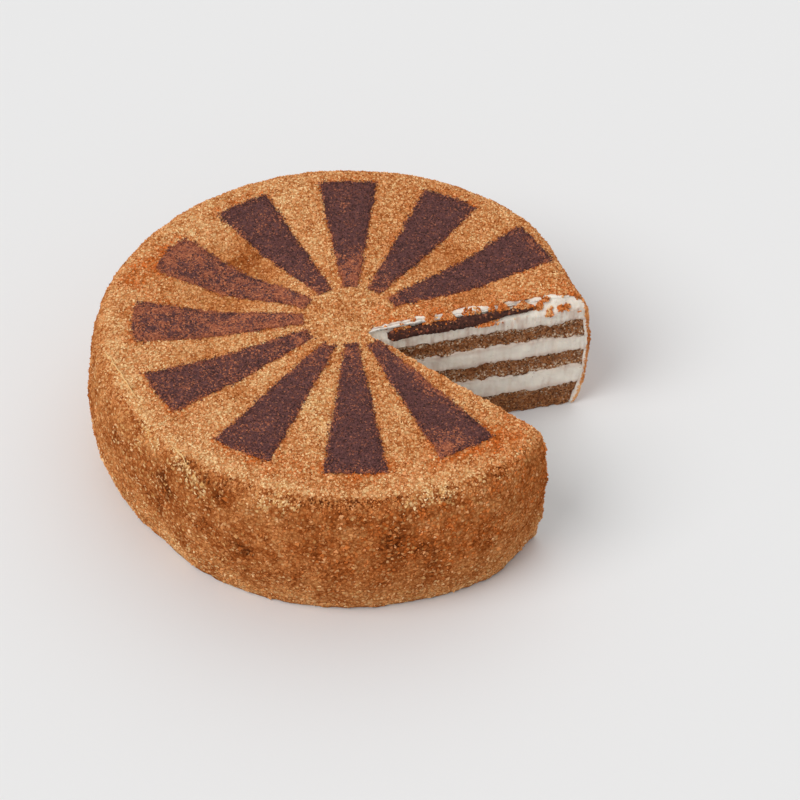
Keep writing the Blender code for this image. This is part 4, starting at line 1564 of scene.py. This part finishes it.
class CAKE_OT_stage(bpy.types.Operator):
    """Set the floor, the lights and the camera"""

    bl_idname = "cake.stage"
    bl_label = "Stage"

    def execute(self, context):
        bpy.ops.mesh.primitive_plane_add(size=12.0, location=(0.0, 0.0, -0.0001))
        floor = context.active_object
        floor.name = "floor"
        finish = Finish("pale_floor", 0.7)
        finish.shader.inputs["Base Color"].default_value = FLOOR_COLOUR
        floor.data.materials.append(finish.material)

        world = bpy.data.worlds.new("studio")
        world.use_nodes = True
        sky = world.node_tree.nodes["Background"].inputs
        sky["Color"].default_value = (1.0, 1.0, 1.0, 1.0)
        sky["Strength"].default_value = ROOM_LIGHT
        context.scene.world = world
        context.scene.view_settings.view_transform = "Standard"
        for name, place, width, power in LAMPS:
            light = bpy.data.lights.new(name, "SUN")
            light.angle = width
            light.energy = power
            lamp = bpy.data.objects.new(name, light)
            lamp.location = place
            lamp.rotation_mode = "QUATERNION"
            lamp.rotation_quaternion = (-Vector(place)).to_track_quat("-Z", "Y")
            context.scene.collection.objects.link(lamp)

        forward = Vector((0.0, math.cos(CAMERA_PITCH), -math.sin(CAMERA_PITCH)))
        upward = Vector((0.0, math.sin(CAMERA_PITCH), math.cos(CAMERA_PITCH)))
        right = Vector((1.0, 0.0, 0.0))
        turned_right = math.cos(CAMERA_ROLL) * right + math.sin(CAMERA_ROLL) * upward
        turned_up = -math.sin(CAMERA_ROLL) * right + math.cos(CAMERA_ROLL) * upward
        lens = bpy.data.cameras.new("camera")
        lens.sensor_width = SENSOR_WIDTH_MM
        lens.lens = CAMERA_FOCUS_PX / PICTURE_WIDTH_PX * SENSOR_WIDTH_MM
        camera = bpy.data.objects.new("camera", lens)
        axes = Matrix((turned_right, turned_up, -forward)).transposed().to_4x4()
        camera.matrix_world = Matrix.Translation(CAMERA_PLACE) @ axes
        context.scene.collection.objects.link(camera)
        context.scene.camera = camera
        return {"FINISHED"}


class CAKE_PT_panel(bpy.types.Panel):
    """Lists the steps that dress the cake"""

    bl_idname = "CAKE_PT_panel"
    bl_label = "Honey Cake"
    bl_space_type = "VIEW_3D"
    bl_region_type = "UI"
    bl_category = "Honey Cake"

    def draw(self, context):
        for group in (context.scene.cake_sizes, context.scene.cake_colours):
            box = self.layout.box()
            for key in group.__annotations__:
                box.prop(group, key)
        for operator in OPERATORS:
            self.layout.operator(operator.bl_idname)


OPERATORS = (
    CAKE_OT_stage,
    CAKE_OT_layers,
    CAKE_OT_coat,
    CAKE_OT_crumbs,
    CAKE_OT_rays,
    CAKE_OT_torn_edge,
    CAKE_OT_folds,
)
CLASSES = (CakeSizes, CakeColours, *OPERATORS, CAKE_PT_panel)


def register():
    for kind in CLASSES:
        bpy.utils.register_class(kind)
    bpy.types.Scene.cake_sizes = PointerProperty(type=CakeSizes)
    bpy.types.Scene.cake_colours = PointerProperty(type=CakeColours)


def unregister():
    del bpy.types.Scene.cake_colours
    del bpy.types.Scene.cake_sizes
    for kind in reversed(CLASSES):
        bpy.utils.unregister_class(kind)


def main():
    register()
    crumb_shapes(SHAPE_COUNT, sizes().seed)
    scatter_tree()
    bpy.ops.cake.stage()
    bpy.ops.cake.layers()
    bpy.ops.cake.coat()
    bpy.ops.cake.crumbs()
    bpy.ops.cake.rays()
    bpy.ops.cake.torn_edge()
    bpy.ops.cake.folds()


if __name__ == "__main__":
    main()
